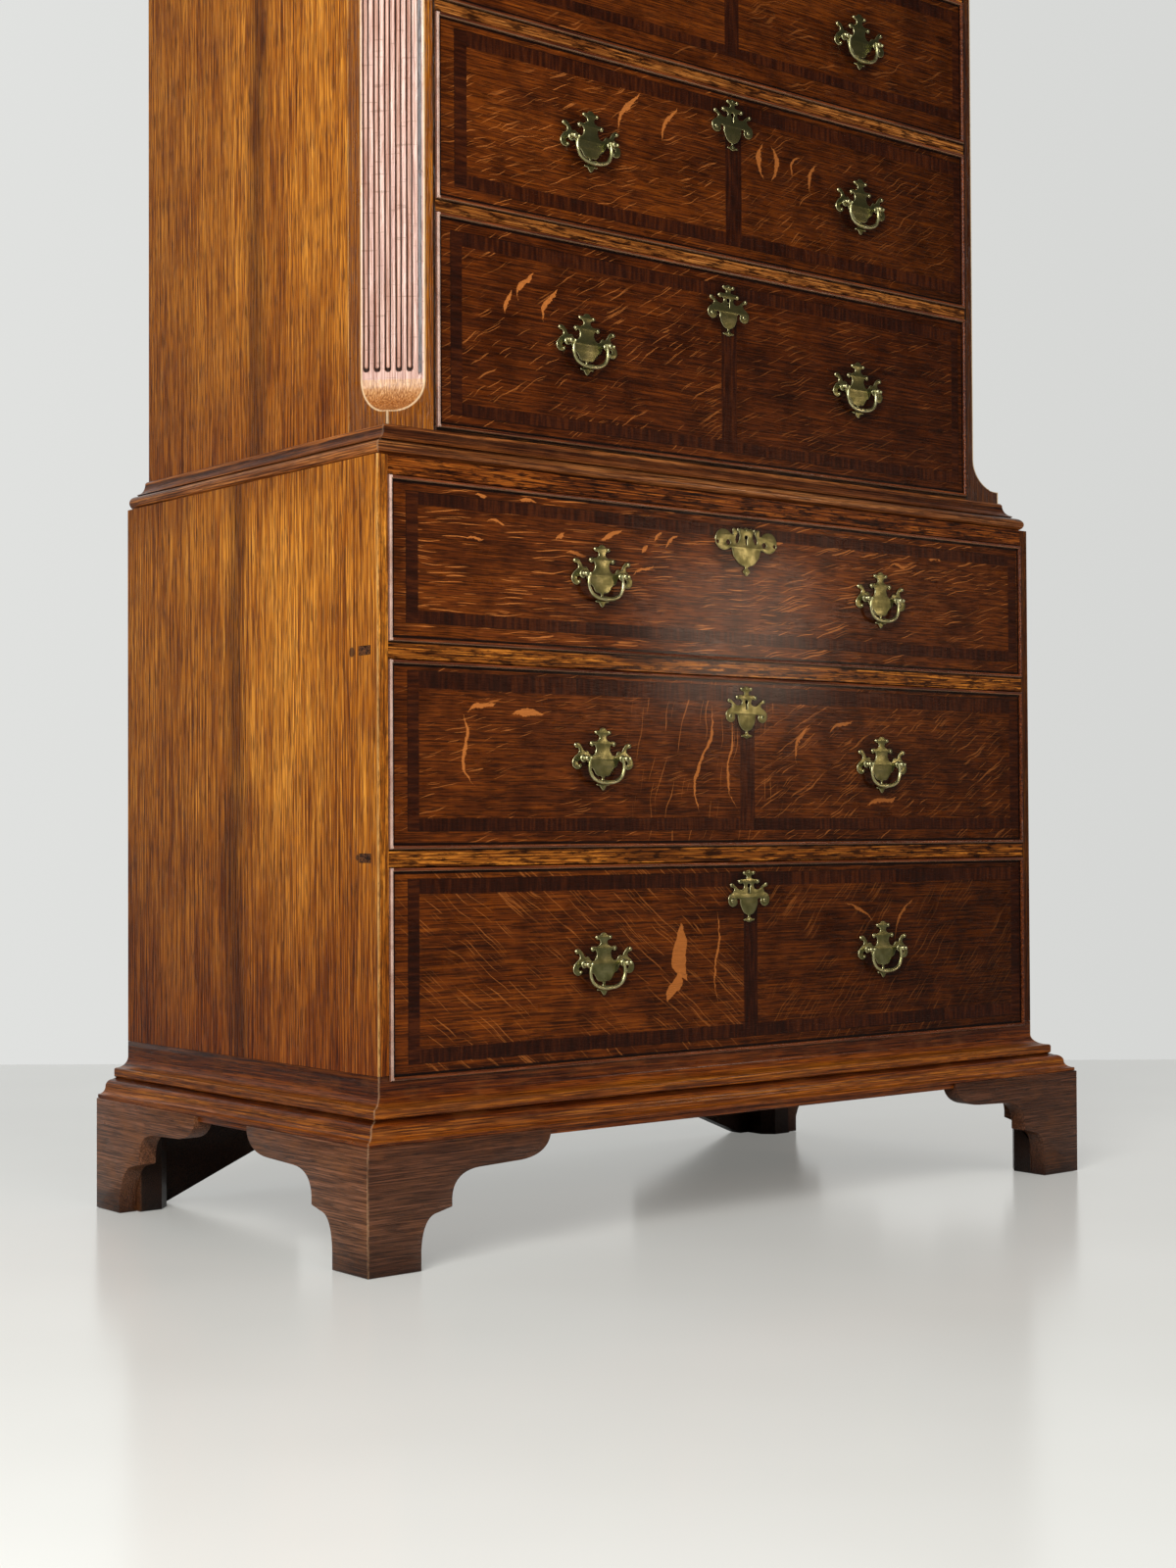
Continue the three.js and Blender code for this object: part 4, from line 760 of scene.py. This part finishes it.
def waist_moulding():
    """The waist: a half round nose at the foot and a hollow above it, which the upper chest drops
    into. The front of that chest stands further out than its sides, so the hollow is shallower."""
    top, nose_top, foot, shallower = LOWER_TOP + 35.3, LOWER_TOP + 16.6, LOWER_TOP + CLEAR, 0.746
    middle, half_nose = (nose_top + foot) / 2, (nose_top - foot) / 2
    drop = top - nose_top - 4.0
    profile = np.concatenate([
        [(-34, foot)], arc((-12, middle), (10, half_nose), -1, 1, 20),
        [(-14, nose_top + 1), (-12, nose_top + 2)],
        arc((-12, top - 2), (11, drop - 1), -1, -2, 14)[1:],
        [(-25, top), (-34, top)]])
    out, up = profile.T
    front = np.where(out < -12, -12 + (out + 12) * shallower, out)
    profile = np.column_stack([np.maximum(out, UPPER_HALF - LOWER_HALF + CLEAR), up])
    run = mitred(profile, LOWER_HALF, LOWER_DEPTH, np.maximum(front, UPPER_DEPTH - LOWER_DEPTH + CLEAR))
    piece("waist_moulding_round_three_sides", [run], WAIST, "case", "moulding_oak", "waist_moulding")


def cornice():
    """The cornice: an astragal on the face of the case, a deep hollow, and an ovolo under a square
    edge. Its top slopes in to the case."""
    high, reach, drop = 72.0, 62.0, 9.0
    out, up = (lambda share: share * reach), (lambda share: UPPER_TOP + share * high)
    bead = drop / 2
    cove_in, cove_out, fillet, ovolo = map(out, (0.15, 0.72, 0.77, 0.94))
    cove_top, ovolo_top = up(0.64), up(0.86)
    profile = np.concatenate([
        [(-18, UPPER_TOP + CLEAR), (CLEAR, UPPER_TOP + CLEAR), (CLEAR, UPPER_TOP - drop)],
        arc((bead, UPPER_TOP - bead), (bead, bead), -1, 1, 12),
        [(cove_in, UPPER_TOP)],
        arc((cove_out, UPPER_TOP + bead), (cove_out - cove_in, cove_top - UPPER_TOP - bead), 2, 1, 16),
        [(fillet, cove_top), (fillet, cove_top + bead)],
        arc((fillet, ovolo_top), (ovolo - fillet, ovolo_top - cove_top - bead), -1, 0, 12)[1:],
        [(reach, ovolo_top), (reach, up(1)), (reach / 2, up(1)), (-18, up(0.33))]])
    piece("cornice_moulding", [mitred(profile, UPPER_HALF, UPPER_DEPTH)], CORNICE, "case",
          "moulding_oak", "cornice")


# Feet

def bracket_outline(sole):
    """The shape of a bracket, out from the corner and up from the floor: a square sole, a hollow to a
    small cusp, a long shelf, and a turn up to the frame."""
    x, z = (lambda share: share * BRACKET), (lambda share: share * FOOT)
    top = FOOT - CLEAR
    return np.concatenate([
        [(0, 0), (sole, 0)],
        bend((sole, z(0.16)), (x(0.29), z(0.42)), (x(0.368), z(0.437))),
        [(x(0.447), z(0.472))],
        bend((x(0.447), z(0.54)), (x(0.455), z(0.745)), (x(0.6), z(0.757))),
        bend((x(0.83), z(0.772)), (x(0.975), z(0.79)), (x(1), FOOT - STRIP)),
        [(x(1), top), (0, top)]])


def mitred_end(part):
    """A bracket whose corner end is cut back as far as each point lies behind its face."""
    points, triangles = part
    behind = BRACKET_THICKNESS - points[:, 2]
    points = points.copy()
    points[:, 0] = np.where(points[:, 0] < 1.5, points[:, 0] + behind, points[:, 0])
    return points, triangles


def feet():
    """The four bracket feet: two shaped brackets mitred at each front corner, a shaped and a sloped
    one at each rear corner, and a glue block behind them."""
    left, front, top = -(LOWER_HALF + REACH), -(LOWER_DEPTH + REACH), FOOT - CLEAR
    thick, outwards, backwards = BRACKET_THICKNESS, (-1, 0, 0), (0, 1, 0)
    inner, far, block_side = thick + 0.2, 262.0, 64.0
    board = mitred_end(flat_plate([bracket_outline(64.0)], thick, 0.9))
    rear_board = flat_plate([bracket_outline(56.0)], thick, 0.9)
    rise = (far - 78.0) * 0.41
    back_board = [(inner, 0), (78, 0), (far, rise), (far, top), (inner, top)]
    back_board = flat_plate([back_board], thick - 0.2, 0.9)
    block = flat_plate([[(inner, inner), (block_side, inner), (block_side, 50), (50, block_side),
                         (inner, block_side)]], top, 0.8)
    front_left = [
        set_plate(board, (left, front + thick, 0), RIGHT, UP, FORWARD),
        set_plate(board, (left + thick, front, 0), backwards, UP, outwards),
        set_plate(block, (left, front, 0), RIGHT, backwards, UP)]
    rear_left = [
        set_plate(rear_board, (left + thick, 0, 0), FORWARD, UP, outwards),
        set_plate(back_board, (left, -thick, 0), RIGHT, UP, backwards),
        set_plate(block, (left, 0, 0), RIGHT, FORWARD, UP)]
    for end, parts in (("front", front_left), ("rear", rear_left)):
        for side, built in (("left", parts), ("right", [mirror(part) for part in parts])):
            piece(f"{end}_bracket_foot_{side}", built, FOOT_OAK, "case", "moulding_oak",
                  f"{end}_foot_{side}")


# Fluted canted corners

def corner_posts():
    """A square post whose corner is cut to a cant. Over the cant, height out is the lower of the
    square corner and the cant with its scooped ends, less the flutes: each flute is half a circle
    deep with round ends, and a cable of a smaller circle stands in it."""
    corner, foot, top = CANT_LEG / math.sqrt(2), SPOON_FOOT + SPOON, CANT_TOP - SPOON
    low, high = UPPER_FOOT + 95.0, UPPER_TOP - 62.0
    radius, cable, spacing, off_middle = 3.5, 2.4, 11.4, 5.2
    a = np.linspace(-corner, corner, 191)
    z = np.unique(np.concatenate([
        [UPPER_FOOT, UPPER_TOP, SPOON_FOOT - 1, CANT_TOP + 1],
        SPOON_FOOT + SPOON * np.linspace(0, 1, 30) ** 0.8,
        CANT_TOP - SPOON * np.linspace(0, 1, 30) ** 0.8, low + np.linspace(0, 9, 16),
        high - np.linspace(0, 9, 16), np.linspace(foot, top, 14)]))
    deep = np.clip(np.maximum(foot - z, z - top) / SPOON, 0, 1)
    scoop = np.where(deep < 1, corner * (1 - np.sqrt(1 - deep ** 2)), 2 * corner)
    cant = np.minimum(scoop[:, None], corner - np.abs(a)[None, :])
    past = np.maximum(np.maximum(low + radius - z, z - high + radius), 0)[:, None]
    past_cable = np.maximum(np.maximum(low + radius + cable - z, z - high + radius + cable), 0)[:, None]
    across = np.abs(a[None, :, None] - (np.arange(-2, 3) * spacing + off_middle)).min(axis=-1)
    hollow = -np.sqrt(np.maximum(radius ** 2 - across ** 2 - past ** 2, 0))
    cabled = cable ** 2 - across ** 2 - past_cable ** 2
    raised = np.where(cabled > 0, -cable + np.sqrt(np.maximum(cabled, 0)), -9.0)
    sunk = np.where(hollow < 0, np.maximum(hollow, raised), 0)
    beside = (a > -corner + 2.6) & (a < -corner + 6.8)
    between = (z > foot) & (z < top)
    sunk = np.where(between[:, None] & beside[None, :], -1.6, sunk)
    out = cant + sunk
    x = UPPER_HALF - CANT_LEG / 2 + (a + out) / math.sqrt(2)
    y = -(UPPER_DEPTH - CANT_LEG / 2) + (a - out) / math.sqrt(2)
    ring = np.stack([x, y, np.broadcast_to(z[:, None], x.shape)], axis=-1)
    inner, rear = UPPER_HALF - POST_WIDTH, POST_DEPTH - UPPER_DEPTH
    square = [np.stack([np.full_like(z, cx), np.full_like(z, cy), z], axis=-1)[:, None]
              for cx, cy in ((inner, -UPPER_DEPTH), (UPPER_HALF, rear), (inner, rear))]
    post = rows(np.concatenate([square[0], ring, *square[1:]], axis=1))
    for side, built in (("right", post), ("left", mirror(post))):
        piece("fluted_corner_post_" + side, [built], POST_OAK, "case", "rail_oak",
              "corner_post_" + side)


# Brass

# The right halves of outlines from the top down, and studs with their radii, from the middle of the
# plate: a handle's back plate, a keyhole plate, and the wide one with its holes

HANDLE_SIDE = [
    (2.8, 32.8), (5.2, 30.8), (8.0, 30.6), (10.9, 30.0), (11.4, 27.6), (9.0, 26.0), (6.6, 25.8),
    (5.0, 24.0), (5.0, 21.6), (7.2, 19.6), (10.4, 18.6), (13.6, 19.0), (16.8, 18.6), (18.2, 16.2),
    (16.9, 13.8), (14.6, 13.2), (13.0, 14.6), (11.2, 14.2), (10.0, 12.0), (9.8, 9.4), (10.8, 6.6),
    (13.0, 4.0), (16.0, 3.2), (18.6, 4.6), (20.4, 7.2), (22.6, 8.4), (24.6, 7.6), (27.0, 8.6),
    (29.4, 12.4), (32.8, 16.0), (36.4, 17.0), (39.4, 16.0), (40.0, 13.4), (37.6, 11.8), (35.0, 11.4),
    (33.4, 9.6), (33.6, 6.8), (36.2, 4.4), (39.6, 1.6), (42.4, -2.8), (42.4, -7.4), (39.6, -10.8),
    (35.4, -11.8), (31.6, -10.6), (29.8, -8.0), (31.0, -6.0), (33.6, -6.4), (35.2, -4.8), (34.0, -2.8),
    (30.8, -1.8), (26.4, -1.8), (22.4, -2.2), (20.8, -5.0), (18.6, -8.6), (14.8, -10.6), (12.2, -13.4),
    (10.2, -16.8), (7.4, -18.8), (4.2, -19.0), (2.0, -19.8), (1.7, -22.6), (3.6, -25.4), (6.6, -26.8),
    (9.0, -27.4), (8.8, -29.0), (5.0, -29.4), (3.6, -31.0), (2.0, -33.2)]
HANDLE_STUDS = [(9.3, 28.3, 1.9), (15.6, 16.1, 2.0), (37.8, 14.3, 2.1), (32.4, -8.5, 1.7)]
PLATE_SIDE = [
    (2.5, 28.6), (4, 27.4), (7, 28.2), (9.2, 26.4), (8, 24), (4.8, 23.6), (3.2, 21.6), (4.4, 19.4),
    (8, 18.8), (12.4, 18.8), (15.8, 17.8), (16, 14.8), (13.2, 13.6), (9.6, 14.2), (7.2, 12),
    (8.2, 8.4), (12, 6.8), (16.6, 7.8), (19.6, 10), (23, 12.6), (26.8, 14.6), (29.2, 12.8),
    (28, 10.2), (24.6, 9.6), (22.4, 7.6), (24.6, 4), (29, 1.6), (32, -3), (30.8, -9), (26, -12.2),
    (20.8, -11.2), (18, -7.6), (18.8, -4.2), (16.6, -3), (13.6, -4.2), (13.4, -8.6), (12.2, -12.4),
    (9, -18), (5, -21), (1.8, -22), (1.6, -24), (4, -26), (8, -26.8), (8, -28.4), (4.2, -29)]
PLATE_STUDS = [(7.2, 26.2, 1.9), (14.2, 16.4, 1.9), (27, 12.6, 1.9), (25, -5.6, 2.6)]
WIDE_SIDE = [
    (2.5, 22.6), (5, 21.6), (8, 22.8), (10.6, 21), (11.4, 17.6), (9.8, 13.6), (11.4, 8.6), (14.6, 4.6),
    (17, 8), (16, 13), (13.4, 16.8), (15.4, 20.6), (19.4, 22.2), (21.2, 19.4), (20.6, 15), (24, 15.4),
    (27.4, 18), (33, 20), (40, 19.2), (45.6, 15), (48.2, 8.6), (46.4, 2), (41, -2.6), (34.4, -4),
    (27.6, -2.4), (23.4, -0.6), (21.6, -4), (20.4, -9), (16.8, -13.4), (12, -18), (5.6, -20.6),
    (2, -22), (3.4, -24.6), (5.6, -27), (3, -29.6)]
WIDE_HOLES = [[(31.6, 5), (28, 8.6), (24.6, 5), (28, 1.6)],
              [(48.0, 5), (44.4, 8.4), (41, 5), (44.4, 1.6)]]
KEYHOLE = [(-1.3, -8.5), (1.3, -8.5), (1.2, -1.9), (2.2, -1), (2.6, 0.6), (1.9, 2.1), (0, 2.7),
           (-1.9, 2.1), (-2.6, 0.6), (-2.2, -1), (-1.2, -1.9)]

# Profiles of radius and height out from the front: a bolt with its head and its nut inside the
# drawer, and a turned pin of the bail. Half the line of the bail, across and up
BOLT = [(0, -24.5), (2.3, -24.5), (2.3, 1.7), (3.9, 1.8), (4.3, 2.5), (3.6, 3.3), (2.4, 3.7),
        (2.2, 5.0), (3.0, 6.2), (3.35, 7.4), (3.3, 8.8), (2.7, 10.2), (1.6, 11.1), (0, 11.4)]
NUT = [(2.3, -23.6), (5.0, -23.6), (5.4, -23.2), (5.4, -20.6), (5.2, -20.1), (2.3, -20.1)]
PIN = [(0, 21.4), (1.9, 21.6), (2.5, 22.6), (1.9, 23.6), (1.3, 23.9), (1.3, 30.6), (1.9, 31),
       (2.5, 31.9), (2.2, 33), (1.2, 33.8), (0, 34)]
BAIL_SIDE = np.array([(22.1, 1.3), (23.9, -5.2), (23.7, -13), (19.4, -20.8), (10.9, -25), (0, -26)])


def brass_handle(drawer, end, x, z, face):
    """A handle: a shaped plate with bevelled edges and studs at its scrolls, two bolts with bored
    heads and nuts inside the drawer, and a bail that thins from its middle to its pins."""
    outline = smoothed(both_sides((0, 33.6), HANDLE_SIDE, (0, -34.4)))
    parts = [set_plate(flat_plate([outline], 1.9, 0.9, 3), (x, face - 0.3, z), RIGHT, UP, FORWARD)]
    parts += [dome(x + s * dx, z + dz, face - 1.5, r, 1.6)
              for dx, dz, r in HANDLE_STUDS for s in (-1, 1)]
    for s in (-27.5, 27.5):
        parts += [turned(BOLT, (x + s, face, z)), turned(NUT, (x + s, face, z), sides=6)]
    name, origin = drawer + end, (x, face - 8.2, z)
    piece(name + "_back_plate_and_bolts", parts, BRASS, drawer, "brass", name + "_plate")

    line = spline(np.concatenate([BAIL_SIDE, (BAIL_SIDE[:-1] * (-1, 1))[::-1]]), 64)
    share = np.linspace(0, 1, len(line))
    slope = np.gradient(line, axis=0)
    slope /= np.linalg.norm(slope, axis=1)[:, None]
    thick = 1.7 + 0.5 * np.sin(math.pi * share) ** 1.5 + 0.5 * np.exp(-((share - 0.5) / 0.03) ** 2)
    angle = np.linspace(0, 2 * math.pi, 12, endpoint=False)[None, :, None]
    level = np.zeros(len(line))
    outward = np.stack([slope[:, 1], level, -slope[:, 0]], axis=-1)[:, None]
    middle = np.stack([line[:, 0], level, line[:, 1]], axis=-1)[:, None] + origin
    round_bar = np.cos(angle) * outward + np.sin(angle) * np.array([0, 1, 0])
    bar = middle + thick[:, None, None] * round_bar
    pins = [turned(PIN, origin, axis=(s, 0, 0), sides=12) for s in (-1, 1)]
    piece(name + "_cast_bail", [rows(bar)] + pins, RUBBED_BRASS, name + "_bail", "brass",
          name + "_bail")


def cockbead(drawer, middle, half, low, high, face):
    """A drawer's cockbead: a strip with a round nose carried along the four edges of the front and
    mitred at the corners."""
    nose = arc((1.8, 1.4), (1.88, 1.72), 2, 0, 12)
    inset, out = np.concatenate([[(0, -1.0)], nose, [(3.6, -1.0)]]).T
    foot, top = low + inset, high - inset
    ring = [np.stack([middle + sx * (half - inset), face - out, level], axis=-1)
            for sx, level in ((-1, foot), (1, foot), (1, top), (-1, top))]
    piece(drawer + "_cockbead", [ring_of(np.stack(ring))], BEAD, drawer, "drawer_oak")


def keyhole_plate(drawer, x, z, face, rise, wide):
    """A keyhole plate: a shaped brass sheet with a keyhole through it, the rise above its middle,
    studs at its scrolls and small pins. The wide one has open lobes."""
    side, studs, top, foot = PLATE_SIDE, PLATE_STUDS, 29.4, -30.4
    if wide:
        side, studs, top, foot = WIDE_SIDE, [(12.6, 20.6, 1.8)], 23.4, -32
    outlines = [smoothed(both_sides((0, top), side, (0, foot))), np.array(KEYHOLE) + (0, rise)]
    for hole in WIDE_HOLES if wide else ():
        outlines += [smoothed(hole), smoothed(np.array(hole) * (-1, 1))]
    parts = [set_plate(flat_plate(outlines, 1.4, 0.6, 3), (x, face - 0.05, z), RIGHT, UP, FORWARD)]
    parts += [dome(x + s * dx, z + dz, face - 1.2, r, 1.2) for dx, dz, r in studs for s in (-1, 1)]
    parts += [dome(x, z + dz, face - 1.2, 1.0, 0.9) for dz in (top - 3, foot + 3.4)]
    piece(drawer + "_keyhole_plate", parts, BRASS, drawer, "brass")


# The drawers in millimetres. Each has its face, middle, half width, foot and top, the places of its
# handles, and how far its keyhole is right of the middle and below the top. The mahogany is given
# as left, right, low and high of its outer and inner edges and of the centre band, with the share
# by which that band shows. Flecks are layers of small ray flecks: their angle, length, width, wave,
# cut and strength, and from where to where they lie. Strokes are single large flecks: their place,
# angle, length, width, bow and wave. Dark is the share of painted shade at the right end of the front.

LONG_LOWER = dict(face=-LOWER_DEPTH, middle=0, half=LOWER_FRONT,
                  handles=[("_left", -208), ("_right", 228)])
LONG_UPPER = dict(face=-UPPER_DEPTH, middle=0, half=UPPER_FRONT,
                  handles=[("_left", -202.5), ("_right", 221.5)])
SHORT = dict(face=-UPPER_DEPTH, half=201.4, low=1497.0, high=1657.0, key=(6, 27.2), strokes=[],
             dark=0.2)
DRAWERS = [
    dict(LONG_LOWER, name="lower_drawer_1", low=184.8, high=398.6, key=(8, 27.3),
         outer=(-463.7, 480, 200, 386.7), inner=(-449.7, 463.7, 214.7, 371.3),
         centre=(0.3, 21.7, 214, 372),
         flecks=[(-38, 60, 1.5, 5, 0.63, 0.42, -470, 20), (48, 56, 1.5, 8, 0.64, 0.34, 20, 480)],
         strokes=[(-98, 298, 100, 66, 22, 8, 4), (-104, 262, 60, 40, 14, -4, 2),
                  (-42, 290, 92, 110, 3, 3, 4), (190, 340, -25, 60, 4, 6, 0),
                  (260, 330, 55, 70, 4, 12, 0)], dark=0.6),
    dict(LONG_LOWER, name="lower_drawer_2", low=417.4, high=608.7, key=(6, 27.8),
         outer=(-463.7, 480, 435.3, 598.7), inner=(-449.7, 463.7, 448.7, 581),
         centre=(-3.7, 19, 448, 582),
         flecks=[(78, 85, 2.4, 14, 0.66, 0.5, -160, 60), (14, 46, 1.7, 5, 0.66, 0.52, -470, -40),
                 (30, 36, 1.6, 5, 0.65, 0.55, 20, 480)],
         strokes=[(-62, 516, 82, 128, 5, 6, 9), (-20, 516, 96, 116, 4, 5, 7),
                  (-392, 520, 100, 76, 5, 4, 6), (-310, 560, 4, 44, 9, 2, 1),
                  (-372, 566, 20, 40, 5, 4, 2), (90, 540, 60, 50, 5, 8, 0), (160, 560, 20, 44, 5, 4, 2),
                  (230, 470, 12, 60, 6, 3, 2)], dark=0.4),
    dict(LONG_LOWER, name="lower_drawer_3", low=627.5, high=795.3, key=(7, 26.2), wide=True,
         outer=(-465, 478, 647, 781), inner=(-450, 463, 660, 768), centre=(0, 18, 660, 768),
         centre_share=0.35,
         flecks=[(3, 56, 1.7, 4, 0.635, 0.85, -470, 60), (14, 50, 1.7, 5, 0.635, 0.8, 20, 480)],
         strokes=[(-370, 785, 0, 18, 4, 2, 0), (-308, 785, -4, 24, 5, 1, 0),
                  (-350, 759, -8, 24, 4.5, 1.5, 0.5), (-378, 739, 6, 24, 4, 1, 1),
                  (-265, 750, 35, 16, 5, 1, 0), (-194, 757, 27, 36, 6, 1, 1),
                  (-244, 733, 2, 30, 5, 1, 1), (-146, 745, 50, 14, 5, 1, 0),
                  (-127, 761, 45, 16, 4, 1, 0), (-107, 757, 42, 24, 5, 1, 0),
                  (-149, 722, 25, 36, 3.5, 2, 1), (327, 768, -5, 24, 5, 2, 0),
                  (262, 755, 5, 40, 4, 2, 1), (400, 776, 3, 44, 4, 2, 1), (60, 768, 0, 14, 4, 1, 0)],
         dark=0.25),
    dict(LONG_UPPER, name="upper_drawer_1", low=854.8, high=1079.2, key=(2.5, 34),
         handles=[("_left", -209), ("_right", 215)],
         outer=(-391.7, 397, 870, 1063), inner=(-377, 385, 883, 1048), centre=(-8, 16, 882, 1049),
         flecks=[(32, 40, 1.7, 5, 0.66, 0.5, -400, 0), (22, 50, 1.6, 6, 0.66, 0.35, -40, 400)],
         strokes=[(-296, 1022, 55, 40, 6, 5, 2), (-262, 1006, 60, 44, 7, 4, 2),
                  (-318, 1000, 70, 30, 5, 3, 1)],
         tones=[(0.32, "361403"), (0.68, "7a3a0c"), (0.5, "582506")], dark=0.3),
    dict(LONG_UPPER, name="upper_drawer_2", low=1093.4, high=1289.0, key=(10.5, 27.2),
         outer=(-386, 406, 1110, 1276.7), inner=(-370, 391.7, 1124.7, 1260), centre=(0, 25, 1124, 1261),
         flecks=[(24, 44, 1.6, 6, 0.65, 0.6, -400, 0), (34, 44, 1.6, 7, 0.65, 0.5, 0, 400)],
         strokes=[(52, 1218, 90, 44, 6, 10, 0), (82, 1218, 90, 44, 6, -10, 0),
                  (108, 1224, 60, 30, 5, 8, 0), (136, 1214, 70, 40, 5, 9, 0),
                  (-150, 1240, 55, 60, 6, 6, 2), (-90, 1236, 60, 50, 5, 6, 2)],
         dark=0.55),
    dict(LONG_UPPER, name="upper_drawer_3", low=1303.2, high=1482.8, key=(9.5, 27.2),
         outer=(-386, 405, 1330, 1469), inner=(-370, 391, 1342, 1454), centre=(0, 22, 1341, 1455),
         flecks=[(20, 56, 2.8, 12, 0.65, 0.36, -400, 400)], strokes=[], dark=0.45),
    dict(SHORT, name="short_drawer_left", middle=-208.5, handles=[("", -202.5)],
         outer=(-392, -24, 1515, 1640), inner=(-377, -39, 1530, 1625),
         flecks=[(28, 46, 3.6, 12, 0.63, 0.5, -410, 0)]),
    dict(SHORT, name="short_drawer_right", middle=208.5, handles=[("", 214.5)],
         outer=(24, 392, 1515, 1640), inner=(39, 377, 1530, 1625),
         flecks=[(-24, 46, 3.6, 12, 0.63, 0.5, 0, 410)]),
]


def drawers():
    """The finish of each drawer, with its cockbead, its handles and its keyhole plate."""
    for i, drawer in enumerate(DRAWERS):
        name, face, middle, half, low, high = (
            drawer[key] for key in ("name", "face", "middle", "half", "low", "high"))
        shift, drop = drawer["key"]
        wide = "wide" in drawer
        rise, plate_half = (12.0, 52) if wide else (11.0, 36)
        z, key_x, key_z = (low + high) / 2, middle + shift, high - drop - rise
        fittings = [(x, z - 2, 46, 37) for _, x in drawer["handles"]] + [(key_x, key_z, plate_half, 30)]
        finish_node(name, banded_front(fittings, 2.7 * i + 1.1, **drawer))
        cockbead(name, middle, half, low, high, face)
        for end, x in drawer["handles"]:
            brass_handle(name, end, x, z, face)
        keyhole_plate(name, key_x, key_z, face, rise, wide)


base_moulding()
waist_moulding()
cornice()
feet()
corner_posts()
drawers()


# Floor, light and camera

def pale_floor():
    """A pale polished floor that ends 4.3 metres from the camera, where the pale room begins. Seen
    by the camera it glows a little, and more behind the photograph's camera, past the lamps."""
    made, node, place, _ = blank("pale_polished_floor")
    cloud = node("TexNoise", {"Vector": place, "Scale": 1.4, "Detail": 3.0})
    colour = node("ValToRGB", (cloud,), stops=[(0.3, "d4d3cc"), (0.7, "dfded8")])
    ahead = node("VectorMath DOT_PRODUCT", (place, AHEAD), out=1)
    glow = node("MapRange", (ahead, -4.2, -1.6, 0.5, 0.19), interpolation_type="SMOOTHSTEP")
    glow = node("Math MULTIPLY", (node("LightPath", out="Is Camera Ray"), glow))
    surface(node, colour, 0.18, None, IOR=1.45, **{"Specular IOR Level": 0.2,
                                                   "Emission Color": linear("f4f4ee"),
                                                   "Emission Strength": glow})
    eye, ahead = np.array(CAMERA[:2]), np.array(AHEAD[:2])
    beside = ahead[::-1] * (1, -1)
    far, back, half_width = 4.3, -3.0, 9
    corners = [eye + out * ahead + side * half_width * beside
               for out, side in ((far, -1), (far, 1), (back, 1), (back, -1))]
    mesh = bpy.data.meshes.new("floor")
    mesh.from_pydata([(*c, -0.0005) for c in np.array(corners).tolist()], [], [(3, 2, 1, 0)])
    mesh.materials.append(made)
    floor = bpy.data.objects.new("floor", mesh)
    bpy.context.scene.collection.objects.link(floor)


def pale_room():
    """A pale room: the camera and reflections see a wall near white, a little darker to the right.
    Reflections see it dim where it closes behind the camera, and a soft grey sky lights the rest."""
    world = bpy.data.worlds.new("pale_room")
    bpy.context.scene.world = world
    world.use_nodes = True
    world.node_tree.nodes.clear()
    node = functools.partial(add, world.node_tree)
    towards = node("TexCoord", out="Generated")
    share = node("MapRange", (node("SeparateXYZ", (towards,)), 0.3, 0.95))
    wall = node("ValToRGB", (share,), stops=[(0.0, "e3e4e2"), (1.0, "d2d3d1")])
    light = node("LightPath", out=None).outputs
    facing = node("MapRange", (node("VectorMath DOT_PRODUCT", (towards, AHEAD), out=1), 0.25, 0.75))
    facing = node("Math MAXIMUM", (facing, light["Is Camera Ray"]))
    wall = node("Mix", {0: facing, 6: linear("3f3d3a"), 7: wall}, out=2, data_type="RGBA")
    seen = light["Is Camera Ray"]
    for ray in ("Is Glossy Ray", "Is Transmission Ray"):
        seen = node("Math MAXIMUM", (seen, light[ray]))
    sky = node("Background", {"Color": linear("c9cdd2"), "Strength": 0.42})
    room = node("Background", {"Color": wall, "Strength": 1.0})
    node("OutputWorld", {"Surface": node("MixShader", (seen, sky, room))}, out=None)


def lamp(name, place, target, size, watts, code="ffffff"):
    """A square soft lamp at a place, turned to shine at a target."""
    data = bpy.data.lights.new(name, "AREA")
    data.shape, data.size, data.energy = "SQUARE", size, watts
    data.color = linear(code)[:3]
    made = bpy.data.objects.new(name, data)
    made.location = place
    made.rotation_euler = (Vector(target) - Vector(place)).to_track_quat("-Z", "Y").to_euler()
    bpy.context.scene.collection.objects.link(made)


def photo_camera():
    """The camera of the photograph, low at the left front, turned a little up."""
    yaw, pitch, roll = (math.radians(v) for v in (39.33, 1.12, -0.26))
    ahead = Vector((math.sin(yaw) * math.cos(pitch), math.cos(yaw) * math.cos(pitch), math.sin(pitch)))
    right = Vector((math.cos(yaw), -math.sin(yaw), 0))
    up = right.cross(ahead)
    level, high = math.cos(roll), math.sin(roll)
    right, up = level * right + high * up, level * up - high * right
    data = bpy.data.cameras.new("camera")
    data.sensor_width, data.lens, data.clip_start, data.clip_end = 36.0, 52.5, 0.05, 60.0
    made = bpy.data.objects.new("camera", data)
    made.matrix_world = Matrix.Translation(CAMERA) @ Matrix([right, up, -ahead]).transposed().to_4x4()
    bpy.context.scene.collection.objects.link(made)
    bpy.context.scene.camera = made


pale_floor()
pale_room()
lamp("window_left", (-2.3, -1.6, 1.75), (-0.4, -0.2, 0.9), 1.3, 64)
lamp("soft_front", (-0.4, -3.6, 2.6), (0.0, 0.0, 0.9), 2.4, 22)
lamp("sheen_right", (2.1, -2.5, 0.92), (0.05, -0.24, 0.68), 0.36, 6.5, "ffdec4")
photo_camera()
bpy.context.scene.view_settings.view_transform = "Standard"
